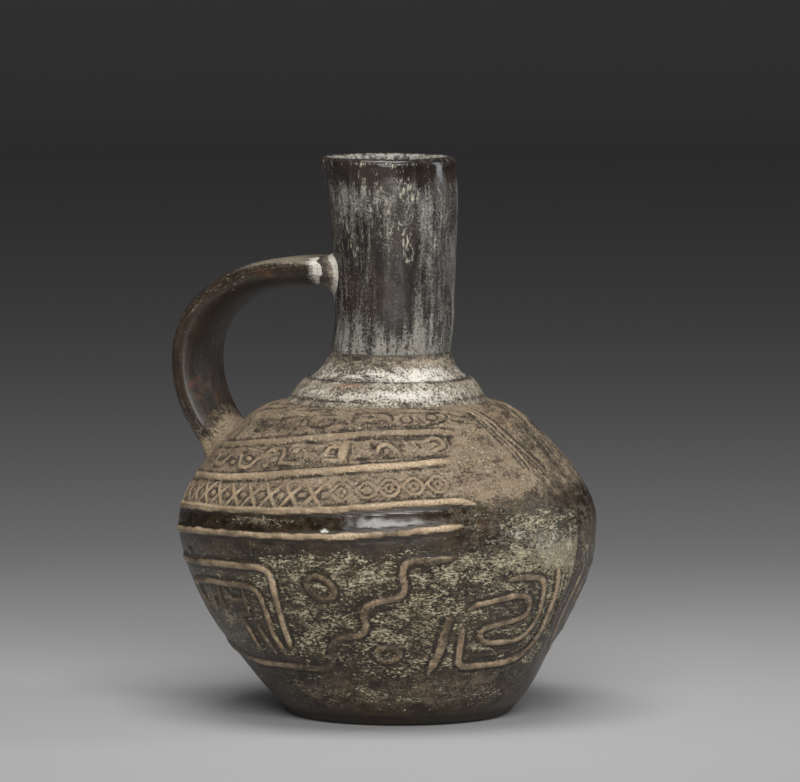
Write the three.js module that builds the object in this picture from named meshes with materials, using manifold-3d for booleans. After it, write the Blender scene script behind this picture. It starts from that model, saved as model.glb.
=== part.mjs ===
// A press-moulded blackware bottle with a tall round neck and a wide strap handle.
// Millimetres, +Z up. The origin is the middle of the flat underside and the handle is on -X.
// The body was pressed in two upright mould halves that meet on the plane y = 0.
import * as THREE from 'three';
import * as BufferGeometryUtils from 'three/addons/utils/BufferGeometryUtils.js';
import Module from 'manifold-3d';

const wasm = await Module();
wasm.setup();

// Body: a flat ring to stand on, a leaning lower wall, a full waist and a sloping shoulder
const footRadius = 38;
const footEdgeRadius = 41.5;
const footEdgeHeight = 3;
const waistRadius = 75;
const waistHeight = 69;
const shoulderEdgeRadius = 35.4;
const shoulderEdgeHeight = 112.8;
const seatHeight = 117;
const seatRadius = 28;
const bodyWall = 5;
const floorThickness = 6.5;
const footCornerInset = 0.4;
const floorCornerRise = 1;
const floorCornerRun = 1.5;
const boreMargin = 2;

// How full the wall is: the reach of each curve's handle from the point it starts at
const lowerWallOut = 6;
const lowerWallUp = 4;
const waistBelow = 21;
const waistAbove = 15;
const shoulderOut = 12;
const shoulderDrop = 2.5;

// Neck: a straight tube that opens towards a rounded lip
const totalHeight = 200;
const neckRadius = 21.4;
const neckFlare = 3.2;
const neckFlareStart = 140;
const neckWall = 4.2;
const lipRounding = 2.4;

// Clay luted round the foot of the neck, and the raised ring outside it
const neckFilletHeight = 13;
const neckFilletToe = 3.8;
const neckFilletTip = 0.5;
const neckFilletBend = 1.6;
const neckFilletBendRise = 2.4;
const ringInnerRadius = 28.4;
const ringSlopeRun = 1.4;
const ringSlopeRise = 2.6;
const ringCrownRun = 1.8;
const ringToeReach = 0.6;
const ringToeLift = 0.4;

// Base disc that closes the underside
const discRadius = 27;
const discBevel = 1;

// Clay strips pressed along the inside of the two seams
const stripWidth = 11;
const stripThickness = 2;
const stripTopRadius = 24;
const stripFloorMargin = 2;

// Handle: the middle line of the strap, from inside the neck's wall to inside the shoulder
const strapRoute = [
  [-16, 158],
  [-30, 158],
  [-43, 157.4],
  [-56, 154.6],
  [-67, 149],
  [-74.8, 142],
  [-79.2, 133.5],
  [-80.4, 124],
  [-78.9, 114],
  [-74.9, 105],
  [-69, 97.6],
  [-60, 86],
];
const strapWidth = 30;
const strapThickness = 10.8;
const strapOuterSquareness = 5;
const strapLoopSquareness = 2;

// Clay worked round each end of the strap
const upperLutingReach = 10;
const upperLutingOutside = 3;
const upperLutingInside = 6.5;
const lowerLutingReach = 14;
const lowerLutingOutside = 0.6;
const lowerLutingInside = 12;
const lutingSideways = 3;
const lutingEdge = 0.8;
const lutingSink = 10;

// The raised pattern of the front mould. A line is a row of corners, each an azimuth in degrees, from
// the middle of the front towards the far seam, and a height. The back mould's lines are these mirrored.
const ridgeWidth = 3;
const ridgeRise = 1;
const ridgeLines = [
  [[-66, 66.6], [-42, 68.6], [-30, 69.4], [0, 70.4], [22, 71.5], [47, 74.2]],
  [[-66, 75], [-42, 76.8], [-30, 77.3], [0, 78.8], [30, 81.6], [40, 82.1], [52, 81.2]],
];

const upperRidgeWidth = 3.2;
const upperRidgeRise = 0.75;
const upperRidgeLines = [
  [[-66, 85.4], [-40, 87.2], [-30, 88], [-10, 90.3], [0, 91.6], [20, 93.6], [48, 95.5]],
  [[-60, 96.8], [-45, 98], [-30, 99.8], [-10, 101.8], [0, 102.7], [18, 104.2], [56, 103.8]],
];

// The lower band: a fret box on each side of a stepped line
const fretWidth = 2.3;
const fretRise = 0.85;
const fretLines = [
  [[-64, 56.2], [-42, 57.6], [-20, 58.4], [-12.6, 58.9], [-8.4, 56.6], [-8.3, 48.9], [-8.3, 39.9], [-9.2, 28.6]],
  [[-54, 48.4], [-33, 51.3], [-16.4, 51.2], [-14, 48.5], [-13.6, 42.9], [-13.4, 29.8]],
  [[-31.9, 39.9], [-33.5, 45.8], [-32.2, 49.6]],
  [[-29.5, 49.6], [-28, 46.2], [-24.7, 45.2], [-21.4, 46.1]],
  [[-25.5, 40.1], [-20.8, 40.8]],
  [[-27.5, 40.9], [-26.6, 36.6], [-29.9, 29.6], [-38.2, 25.2], [-50, 23]],
  [[-18.4, 35.1], [-15.4, 34.1], [-15.2, 30.9], [-27.9, 26.3], [-34.1, 25.2]],
  [[-31.7, 21.9], [-8.4, 21.8], [3.4, 21.8], [7.5, 31], [13.9, 34.7], [18, 35.5], [19.7, 38.5], [18.9, 42.9],
    [20.1, 46.7], [30, 49.3], [31.2, 53], [30.2, 60.8], [34, 62.9], [45, 63.8]],
  [[45.9, 43.1], [44.1, 35.9], [43.9, 30.9], [39, 20.6]],
  [[50.4, 38.3], [50.1, 23.3], [61.4, 22.5], [77.8, 25], [82.8, 29.7], [84.6, 35.7], [84, 43.8], [81.4, 57.4]],
  [[50.2, 43.5], [53.4, 45.9], [66.6, 48.6], [73.2, 44.1], [72.8, 40.2], [58, 37], [56, 34.4], [58.8, 31.2],
    [75.8, 32.1], [79.1, 37.8], [77, 51], [74.6, 54.2], [61.6, 54.2]],
];

// The two rings in the lower band: the middle, and half the width in degrees and half the height
const fretRings = [
  { middle: [6.8, 52.3], across: 3.9, up: 4 },
  { middle: [27, 28], across: 3.9, up: 2.7 },
];
const ringCorners = 8;

// The narrow bands: a row of crosses, and a running fret above it
const fineWidth = 1.5;
const fineRise = 0.6;
const crosses = { count: 10, first: [-58.5, 80.6], last: [4.5, 84.15], across: 3, up: 3.9 };
const fineLines = [
  [[-47, 94.6], [-45.6, 91.2], [-40.4, 91], [-38.6, 94.4], [-31.4, 95.6], [-28.6, 91.6], [-23.4, 91.6],
    [-22.4, 94.8], [-19.8, 95.6], [-18.8, 98.2], [-12, 98.9], [-11.6, 93.6], [-3.2, 94.2]],
  [[11.2, 95], [10.8, 101.4]],
  [[68, 111.4], [73, 105.6], [76, 101.6], [78, 97], [78.8, 91], [77.6, 88]],
  [[70, 112], [77, 105], [81.4, 97.6], [84, 91.6], [84.6, 86]],
];

// How the raised lines are made: the crest's share of the foot, how deep the foot is sunk in the wall,
// the longest straight stretch and the most that a corner is widened
const crestShare = 0.5;
const patternSink = 1.2;
const patternStretch = 13;
const sharpestMitre = 1.5;

// The body leans a little to the handle's side, and the neck leans back and out again
const leanSteps = [
  { from: 0, to: 40, shift: -4.8 },
  { from: 70, to: 95, shift: -0.8 },
  { from: 104, to: 124, shift: 1.5 },
  { from: 122, to: 144, shift: 2.2 },
  { from: 178, to: 206, shift: -3.4 },
];

// Fit between luted pieces, and how finely the round forms are divided
const jointGap = 0.3;
const roundSteps = 52;
const wallRows = 18;
const innerRows = 12;
const neckRows = 10;
const strapSteps = 26;
const strapSectionPoints = 18;
const lutingRows = 12;
const curvePoints = 6;
const lipPoints = 6;
const footPoints = 4;
const wallSampleCount = 300;
const routeSampleCount = 400;

const smooth = THREE.MathUtils.smoothstep;

// How far the middle of the pot is shifted along X at a height
function leanAt(height) {
  return leanSteps.reduce((sum, step) => sum + step.shift * smooth(height, step.from, step.to), 0);
}

// Solids and meshes

function toSolid(geometry) {
  const bare = geometry.clone();
  bare.deleteAttribute('normal');
  bare.deleteAttribute('uv');
  const merged = BufferGeometryUtils.mergeVertices(bare, 1e-4);
  return new wasm.Manifold(new wasm.Mesh({
    numProp: 3,
    vertProperties: merged.attributes.position.array,
    triVerts: new Uint32Array(merged.index.array),
  }));
}

function toGeometry(solid) {
  const mesh = solid.getMesh();
  const geometry = new THREE.BufferGeometry();
  geometry.setAttribute('position', new THREE.BufferAttribute(mesh.vertProperties, 3));
  geometry.setIndex(new THREE.BufferAttribute(mesh.triVerts, 1));
  return geometry;
}

function boxSolid(low, high) {
  const box = new THREE.BoxGeometry(high[0] - low[0], high[1] - low[1], high[2] - low[2]);
  box.translate((low[0] + high[0]) / 2, (low[1] + high[1]) / 2, (low[2] + high[2]) / 2);
  return toSolid(box);
}

// Turns a profile of radius and height into a solid that follows the lean of the pot
function turned(profile) {
  const halfStep = Math.PI / roundSteps;
  const lathe = new THREE.LatheGeometry(profile, roundSteps, halfStep);
  lathe.rotateX(Math.PI / 2);
  const position = lathe.attributes.position;
  for (let i = 0; i < position.count; i += 1) {
    position.setX(i, position.getX(i) + leanAt(position.getZ(i)));
  }
  return toSolid(lathe);
}

// Body profile

const wallCurve = new THREE.CurvePath();
wallCurve.add(new THREE.CubicBezierCurve(
  new THREE.Vector2(footEdgeRadius, footEdgeHeight),
  new THREE.Vector2(footEdgeRadius + lowerWallOut, footEdgeHeight + lowerWallUp),
  new THREE.Vector2(waistRadius, waistHeight - waistBelow),
  new THREE.Vector2(waistRadius, waistHeight),
));
wallCurve.add(new THREE.CubicBezierCurve(
  new THREE.Vector2(waistRadius, waistHeight),
  new THREE.Vector2(waistRadius, waistHeight + waistAbove),
  new THREE.Vector2(shoulderEdgeRadius + shoulderOut, shoulderEdgeHeight - shoulderDrop),
  new THREE.Vector2(shoulderEdgeRadius, shoulderEdgeHeight),
));
const wallSamples = wallCurve.getSpacedPoints(wallSampleCount);

// Radius of the plain wall at a height, between its lowest and highest point
function wallRadius(height) {
  let above = wallSamples.findIndex((point) => point.y >= height);
  above = above < 0 ? wallSamples.length - 1 : Math.max(above, 1);
  const low = wallSamples[above - 1];
  const high = wallSamples[above];
  return low.x + (high.x - low.x) * (height - low.y) / (high.y - low.y);
}

function footCurve() {
  return new THREE.QuadraticBezierCurve(
    new THREE.Vector2(footRadius, 0),
    new THREE.Vector2(footEdgeRadius - footCornerInset, 0),
    new THREE.Vector2(footEdgeRadius, footEdgeHeight),
  ).getPoints(footPoints);
}

// Points of the wall's middle stretch pushed along their normals, inwards where the distance is below 0
function wallOffset(distance, rows) {
  return wallCurve.getSpacedPoints(rows).map((point, i) => {
    const tangent = wallCurve.getTangentAt(i / rows);
    return new THREE.Vector2(point.x + distance * tangent.y, point.y - distance * tangent.x);
  });
}

// The inner face of the body from the floor up to the mouth, at a distance inside the outer face
function innerFace(depth, lowest, smallest) {
  return wallOffset(-depth, innerRows).filter((point) => point.y > lowest && point.x > smallest);
}

const neckBore = neckRadius - neckWall;

function bodyShell() {
  const inner = innerFace(bodyWall, floorThickness + floorCornerRise, neckBore + boreMargin).reverse();
  const discHole = discRadius + jointGap;
  const profile = [
    new THREE.Vector2(discHole, 0),
    ...footCurve().slice(0, -1),
    ...wallCurve.getSpacedPoints(wallRows),
    new THREE.Vector2(seatRadius, seatHeight),
    new THREE.Vector2(neckBore, seatHeight),
    new THREE.Vector2(neckBore, seatHeight - bodyWall),
    ...inner,
    new THREE.Vector2(inner.at(-1).x - floorCornerRun, floorThickness),
    new THREE.Vector2(discHole, floorThickness),
    new THREE.Vector2(discHole, 0),
  ];
  return turned(profile);
}

// The whole outside of the body, grown by a clearance, to cut what is luted on to it
function bodyEnvelope(clearance) {
  const profile = [
    new THREE.Vector2(0, footEdgeHeight),
    ...wallOffset(clearance, wallRows),
    new THREE.Vector2(seatRadius, seatHeight + clearance),
    new THREE.Vector2(0, seatHeight + clearance),
  ];
  return turned(profile);
}

// Pattern

// The point of the front's plain wall at an azimuth and height, and the wall's outward direction there
function wallPlace([azimuth, height]) {
  const angle = THREE.MathUtils.degToRad(azimuth);
  const slope = wallRadius(height + 0.5) - wallRadius(height - 0.5);
  const radius = wallRadius(height);
  const outward = new THREE.Vector3(Math.sin(angle), -Math.cos(angle), 0);
  const point = outward.clone().multiplyScalar(radius).add(new THREE.Vector3(leanAt(height), 0, height));
  return { point, outward: outward.setZ(-slope).normalize() };
}

// The corners with points between them, so that no stretch is longer than patternStretch
function closeCorners(corners) {
  return corners.flatMap((corner, i) => {
    if (i === 0) {
      return [corner];
    }
    const before = corners[i - 1];
    const length = wallPlace(before).point.distanceTo(wallPlace(corner).point);
    const parts = Math.ceil(length / patternStretch);
    const between = (part) => corner.map((value, k) => before[k] + (value - before[k]) * part / parts);
    return Array.from({ length: parts }, (_, part) => between(part + 1));
  });
}

// A raised line with sloping sides along its corners. It closes where the last corner is the first.
function raisedLine(corners, width, rise) {
  const closed = corners.at(-1).every((value, k) => value === corners[0][k]);
  const places = closeCorners(corners).map(wallPlace).slice(closed ? 1 : 0);
  const count = places.length;
  const beside = (i) => (closed ? (i + count) % count : THREE.MathUtils.clamp(i, 0, count - 1));
  const section = [
    [width / 2, -patternSink],
    [width * crestShare / 2, rise],
    [-width * crestShare / 2, rise],
    [-width / 2, -patternSink],
  ];
  const positions = places.flatMap(({ point, outward }, i) => {
    const arriving = point.clone().sub(places[beside(i - 1)].point).normalize();
    const leaving = places[beside(i + 1)].point.clone().sub(point).normalize();
    const ahead = arriving.clone().add(leaving).normalize();
    const aside = new THREE.Vector3().crossVectors(outward, ahead).normalize();
    const mitre = Math.min(sharpestMitre, 1 / Math.max(arriving.dot(ahead), leaving.dot(ahead)));
    return section.flatMap(([side, out]) => point.clone()
      .addScaledVector(aside, side * mitre)
      .addScaledVector(outward, out)
      .toArray());
  });
  const corner = (i, k) => (i % count) * section.length + (k % section.length);
  const indices = [];
  for (let i = 0; i < (closed ? count : count - 1); i += 1) {
    for (let k = 0; k < section.length; k += 1) {
      indices.push(corner(i, k), corner(i, k + 1), corner(i + 1, k + 1));
      indices.push(corner(i, k), corner(i + 1, k + 1), corner(i + 1, k));
    }
  }
  if (!closed) {
    indices.push(...[3, 2, 1, 3, 1, 0].map((k) => corner(0, k)));
    indices.push(...[0, 1, 2, 0, 2, 3].map((k) => corner(count - 1, k)));
  }
  const geometry = new THREE.BufferGeometry();
  geometry.setAttribute('position', new THREE.Float32BufferAttribute(positions, 3));
  geometry.setIndex(indices);
  return toSolid(geometry);
}

function ringLine({ middle, across, up }) {
  return Array.from({ length: ringCorners + 1 }, (_, i) => {
    const angle = 2 * Math.PI * (i % ringCorners) / ringCorners;
    return [middle[0] + across * Math.cos(angle), middle[1] + up * Math.sin(angle)];
  });
}

// The two lines of each cross in the row
function crossLines() {
  const { count, first, last, across, up } = crosses;
  const middles = Array.from({ length: count }, (_, i) => first.map((value, k) => (
    value + (last[k] - value) * i / (count - 1))));
  return middles.flatMap(([azimuth, height]) => [-1, 1].map((way) => [
    [azimuth - across, height - way * up],
    [azimuth + across, height + way * up],
  ]));
}

// Every raised line of the front mould
function patternSolids() {
  return [
    ...ridgeLines.map((line) => raisedLine(line, ridgeWidth, ridgeRise)),
    ...upperRidgeLines.map((line) => raisedLine(line, upperRidgeWidth, upperRidgeRise)),
    ...[...fretLines, ...fretRings.map(ringLine)].map((line) => raisedLine(line, fretWidth, fretRise)),
    ...[...crossLines(), ...fineLines].map((line) => raisedLine(line, fineWidth, fineRise)),
  ];
}

// One mould half: side is -1 for the front, 1 for the back
function bodyHalf(side) {
  const reach = waistRadius * 2;
  const low = [-reach, side < 0 ? -reach : 0, -reach];
  const high = [reach, side < 0 ? 0 : reach, totalHeight];
  const lines = side < 0 ? patternSolids() : patternSolids().map((line) => line.mirror([0, 1, 0]));
  return lines.reduce((body, line) => body.add(line), bodyShell()).intersect(boxSolid(low, high));
}

function baseDisc() {
  return turned([
    new THREE.Vector2(0, 0),
    new THREE.Vector2(discRadius - discBevel, 0),
    new THREE.Vector2(discRadius, discBevel),
    new THREE.Vector2(discRadius, floorThickness),
    new THREE.Vector2(0, floorThickness),
  ]);
}

// A strip on the inside of one seam: side is -1 under the handle, 1 on the far side
function seamStrip(side) {
  const lowest = floorThickness + stripFloorMargin;
  const outer = innerFace(bodyWall + jointGap, lowest, stripTopRadius);
  const inner = innerFace(bodyWall + jointGap + stripThickness, lowest, stripTopRadius).reverse();
  const ring = turned([...outer, ...inner, outer[0]]);
  const reach = waistRadius * 2;
  const low = [side < 0 ? -reach : 0, -stripWidth / 2, 0];
  const high = [side < 0 ? 0 : reach, stripWidth / 2, totalHeight];
  return ring.intersect(boxSolid(low, high));
}

// Neck

const neckFoot = seatHeight + jointGap;
const lipTop = totalHeight - lipRounding;

function neckOuterRadius(height) {
  const up = Math.max(0, (height - neckFlareStart) / (lipTop - neckFlareStart));
  return neckRadius + neckFlare * up * up;
}

// Points of the neck's outer face from a height up to the lip, grown by a clearance
function neckOutside(lowest, clearance, rows) {
  const points = [];
  for (let i = 0; i <= rows; i += 1) {
    const height = lowest + (lipTop - lowest) * i / rows;
    points.push(new THREE.Vector2(neckOuterRadius(height) + clearance, height));
  }
  return points;
}

function neckTube() {
  const lip = new THREE.EllipseCurve(
    neckOuterRadius(lipTop) - neckWall / 2, lipTop, neckWall / 2, lipRounding, 0, Math.PI,
  ).getPoints(lipPoints).slice(1);
  const outside = neckOutside(neckFoot, 0, neckRows);
  const inside = neckOutside(neckFoot, -neckWall, neckRows / 2).slice(0, -1).reverse();
  return turned([...outside, ...lip, ...inside, outside[0]]);
}

function neckEnvelope(clearance) {
  const lowest = seatHeight - bodyWall;
  return turned([
    new THREE.Vector2(0, lowest),
    ...neckOutside(lowest, clearance, neckRows),
    new THREE.Vector2(0, lipTop),
  ]);
}

// Clay smeared into the corner between the neck and the shoulder, hollow like a cove
function neckFootFillet() {
  const inner = neckRadius + jointGap;
  const outer = ringInnerRadius - jointGap;
  const cove = new THREE.QuadraticBezierCurve(
    new THREE.Vector2(outer, neckFoot + neckFilletToe),
    new THREE.Vector2(inner + neckFilletBend, neckFoot + neckFilletToe + neckFilletBendRise),
    new THREE.Vector2(inner + neckFilletTip, neckFoot + neckFilletHeight),
  ).getPoints(curvePoints);
  return turned([
    new THREE.Vector2(inner, neckFoot),
    new THREE.Vector2(outer, neckFoot),
    ...cove,
    new THREE.Vector2(inner, neckFoot + neckFilletHeight),
    new THREE.Vector2(inner, neckFoot),
  ]);
}

// Raised ring that lies on the shoulder, outside the neck's foot
function shoulderRing() {
  const toe = new THREE.Vector2(shoulderEdgeRadius + ringToeReach, shoulderEdgeHeight + ringToeLift);
  const underside = new THREE.Vector2(seatRadius + jointGap, seatHeight + jointGap);
  const top = new THREE.Vector2(ringInnerRadius, neckFoot + neckFilletToe);
  const back = new THREE.CubicBezierCurve(
    toe,
    new THREE.Vector2(toe.x - ringSlopeRun, toe.y + ringSlopeRise),
    new THREE.Vector2(top.x + ringCrownRun, top.y),
    top,
  ).getPoints(curvePoints);
  return turned([
    underside,
    ...back,
    new THREE.Vector2(ringInnerRadius, seatHeight + jointGap),
    underside,
  ]);
}

// Handle

// The strap's section, grown by a clearance: flat and square on its outer side, which is up in
// the shape, and rounded towards the finger loop
function strapSection(clearance) {
  const shape = new THREE.Shape();
  for (let i = 0; i < strapSectionPoints; i += 1) {
    const angle = 2 * Math.PI * i / strapSectionPoints;
    const squareness = Math.sin(angle) > 0 ? strapOuterSquareness : strapLoopSquareness;
    const blunt = (value) => Math.sign(value) * Math.abs(value) ** (2 / squareness);
    const across = (strapWidth / 2 + clearance) * blunt(Math.cos(angle));
    const through = (strapThickness / 2 + clearance) * blunt(Math.sin(angle));
    if (i === 0) {
      shape.moveTo(across, through);
    } else {
      shape.lineTo(across, through);
    }
  }
  shape.closePath();
  return shape;
}

const strapPath = new THREE.CatmullRomCurve3(
  strapRoute.map(([x, z]) => new THREE.Vector3(x, 0, z)),
  false,
  'centripetal',
);

function strapSolid(clearance) {
  const geometry = new THREE.ExtrudeGeometry(strapSection(clearance), {
    steps: strapSteps,
    extrudePath: strapPath,
    bevelEnabled: false,
  });
  return toSolid(geometry);
}

function handleStrap() {
  return strapSolid(0).subtract(neckEnvelope(jointGap)).subtract(bodyEnvelope(jointGap));
}

// A cove of clay round one end of the strap, wide at its seat and thin at its far edge.
// at is where the strap's middle line meets the seat, away points along the strap from there,
// and turn is 1 where that is along the route and -1 where it is against it.
function strapLuting({ at, away, turn }, reach, outside, inside) {
  const geometry = new THREE.ExtrudeGeometry(strapSection(0), {
    depth: reach + lutingSink,
    steps: lutingRows,
    bevelEnabled: false,
  });
  geometry.translate(0, 0, -lutingSink);
  const position = geometry.attributes.position;
  for (let i = 0; i < position.count; i += 1) {
    const up = THREE.MathUtils.clamp(position.getZ(i) / reach, 0, 1);
    const cove = (1 - up) ** 2;
    const through = position.getY(i);
    const throughSpread = through < 0 ? inside : outside;
    const throughScale = (strapThickness / 2 + lutingEdge + throughSpread * cove) / (strapThickness / 2);
    const acrossScale = (strapWidth / 2 + lutingEdge + lutingSideways * cove) / (strapWidth / 2);
    position.setX(i, position.getX(i) * acrossScale);
    position.setY(i, through * throughScale);
  }
  const across = new THREE.Vector3(0, -turn, 0);
  const outwards = new THREE.Vector3().crossVectors(away, across);
  geometry.applyMatrix4(new THREE.Matrix4().makeBasis(across, outwards, away).setPosition(at));
  return toSolid(geometry).subtract(strapSolid(jointGap));
}

// The point and the direction of the strap's middle line where a test on the point first holds
function strapAt(test, fromEnd) {
  for (let i = 0; i <= routeSampleCount; i += 1) {
    const share = i / routeSampleCount;
    const u = fromEnd ? 1 - share : share;
    const point = strapPath.getPointAt(u);
    if (test(point)) {
      const turn = fromEnd ? -1 : 1;
      return { at: point, away: strapPath.getTangentAt(u).multiplyScalar(turn), turn };
    }
  }
  throw new Error('the strap never leaves its seat');
}

function upperLuting() {
  const seat = strapAt((point) => leanAt(point.z) - point.x >= neckOuterRadius(point.z), false);
  return strapLuting(seat, upperLutingReach, upperLutingOutside, upperLutingInside)
    .subtract(neckEnvelope(jointGap));
}

function lowerLuting() {
  const seat = strapAt((point) => leanAt(point.z) - point.x >= wallRadius(point.z), true);
  return strapLuting(seat, lowerLutingReach, lowerLutingOutside, lowerLutingInside)
    .subtract(bodyEnvelope(jointGap));
}

// Assembly

const slip = { color: 0x2c2926, roughness: 0.42, metalness: 0 };
const dustySlip = { color: 0x6f675b, roughness: 0.7, metalness: 0 };
const paleClay = { color: 0xb7ad9c, roughness: 0.9, metalness: 0 };
const rawClay = { color: 0x4a443d, roughness: 0.9, metalness: 0 };

const bottle = new THREE.Group();

function addPiece(name, solid, finish) {
  const mesh = new THREE.Mesh(toGeometry(solid), new THREE.MeshStandardMaterial(finish));
  mesh.name = name;
  bottle.add(mesh);
}

addPiece('body_front_half', bodyHalf(-1), dustySlip);
addPiece('body_back_half', bodyHalf(1), dustySlip);
addPiece('base_disc', baseDisc(), rawClay);
addPiece('inner_seam_strip_handle_side', seamStrip(-1), rawClay);
addPiece('inner_seam_strip_far_side', seamStrip(1), rawClay);
addPiece('shoulder_ring', shoulderRing(), dustySlip);
addPiece('neck_foot_fillet', neckFootFillet(), paleClay);
addPiece('neck_tube', neckTube(), slip);
addPiece('handle_strap', handleStrap(), slip);
addPiece('handle_upper_luting', upperLuting(), paleClay);
addPiece('handle_lower_luting', lowerLuting(), dustySlip);

export default bottle;
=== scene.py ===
"""The looks of a press-moulded blackware bottle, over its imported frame.

The body was pressed in two moulds that meet on the plane y = 0, so the front and the back
carry the same raised pattern. Sizes are in millimetres until a mesh is made. Azimuth is in
degrees round the pot: 0 is the front (-Y), 90 the far seam (+X), -90 the seam by the handle.
"""

from __future__ import annotations

import logging
import math
from dataclasses import dataclass, field
from enum import Enum
from typing import Any, Mapping, Sequence, Union

import bpy
import numpy as np
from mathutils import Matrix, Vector


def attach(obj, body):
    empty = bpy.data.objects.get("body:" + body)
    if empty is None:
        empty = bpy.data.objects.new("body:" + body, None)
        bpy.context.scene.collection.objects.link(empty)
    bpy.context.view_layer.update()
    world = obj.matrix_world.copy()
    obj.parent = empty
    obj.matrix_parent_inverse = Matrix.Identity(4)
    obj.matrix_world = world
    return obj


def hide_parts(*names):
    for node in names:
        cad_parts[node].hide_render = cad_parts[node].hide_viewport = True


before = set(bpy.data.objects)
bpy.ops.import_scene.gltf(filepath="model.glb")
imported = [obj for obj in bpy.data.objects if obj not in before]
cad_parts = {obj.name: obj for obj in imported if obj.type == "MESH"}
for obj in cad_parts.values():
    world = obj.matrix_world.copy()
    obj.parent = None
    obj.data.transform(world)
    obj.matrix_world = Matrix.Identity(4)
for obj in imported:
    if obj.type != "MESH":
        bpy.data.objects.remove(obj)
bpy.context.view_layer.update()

log = logging.getLogger("bottle")

METRES = 0.001
BODY = "root"


# Shader maths


Number = Union["Value", float]


class Value:
    """One number socket of a material, which takes part in sums as a plain number does."""

    def __init__(self, bench: "Bench", socket: bpy.types.NodeSocket) -> None:
        """Holds the socket that gives the number, and the bench that its next nodes go on."""
        self.bench = bench
        self.socket = socket

    def _sum(self, operation: str, first: Number, second: Number) -> "Value":
        """The result of a Math node that works on two numbers."""
        node = self.bench.node("ShaderNodeMath", {"operation": operation}, {0: first, 1: second})
        return Value(self.bench, node.outputs[0])

    def __add__(self, other: Number) -> "Value":
        """Self plus other."""
        return self._sum("ADD", self, other)

    def __radd__(self, other: Number) -> "Value":
        """Other plus self."""
        return self._sum("ADD", other, self)

    def __sub__(self, other: Number) -> "Value":
        """Self less other."""
        return self._sum("SUBTRACT", self, other)

    def __rsub__(self, other: Number) -> "Value":
        """Other less self."""
        return self._sum("SUBTRACT", other, self)

    def __mul__(self, other: Number) -> "Value":
        """Self times other."""
        return self._sum("MULTIPLY", self, other)

    def __rmul__(self, other: Number) -> "Value":
        """Other times self."""
        return self._sum("MULTIPLY", other, self)

    def smooth(self, low: float, high: float) -> "Value":
        """A smooth step of the number.

        Args:
            low: where the step leaves 0.
            high: where it reaches 1. A high below low gives a falling step.

        Returns:
            A number from 0 to 1.
        """
        rising = high > low
        node = self.bench.node(
            "ShaderNodeMapRange",
            {"interpolation_type": "SMOOTHSTEP", "clamp": True},
            {
                "Value": self,
                "From Min": min(low, high),
                "From Max": max(low, high),
                "To Min": 0.0 if rising else 1.0,
                "To Max": 1.0 if rising else 0.0,
            },
        )
        return Value(self.bench, node.outputs[0])

    def clipped(self) -> "Value":
        """The number kept between 0 and 1."""
        node = self.bench.node("ShaderNodeClamp", {}, {"Value": self})
        return Value(self.bench, node.outputs[0])


class Tone:
    """One colour socket of a material."""

    def __init__(self, bench: "Bench", socket: bpy.types.NodeSocket) -> None:
        """Holds the socket that gives the colour, and the bench that its next nodes go on."""
        self.bench = bench
        self.socket = socket

    def toward(self, other: Union["Tone", "Paint"], share: Number) -> "Tone":
        """The colour with a share of another mixed in."""
        return self.bench.mixed(self, other, share)


@dataclass(frozen=True)
class Paint:
    """One fixed colour, as its red, green and blue on a screen from 0 to 255."""

    red: int
    green: int
    blue: int

    def light(self) -> tuple[float, float, float, float]:
        """The colour as amounts of light.

        Returns:
            Red, green, blue and a full alpha, from 0 to 1.
        """
        shares = [part / 255.0 for part in (self.red, self.green, self.blue)]
        linear = [s / 12.92 if s <= 0.04045 else ((s + 0.055) / 1.055) ** 2.4 for s in shares]
        return (linear[0], linear[1], linear[2], 1.0)


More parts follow.
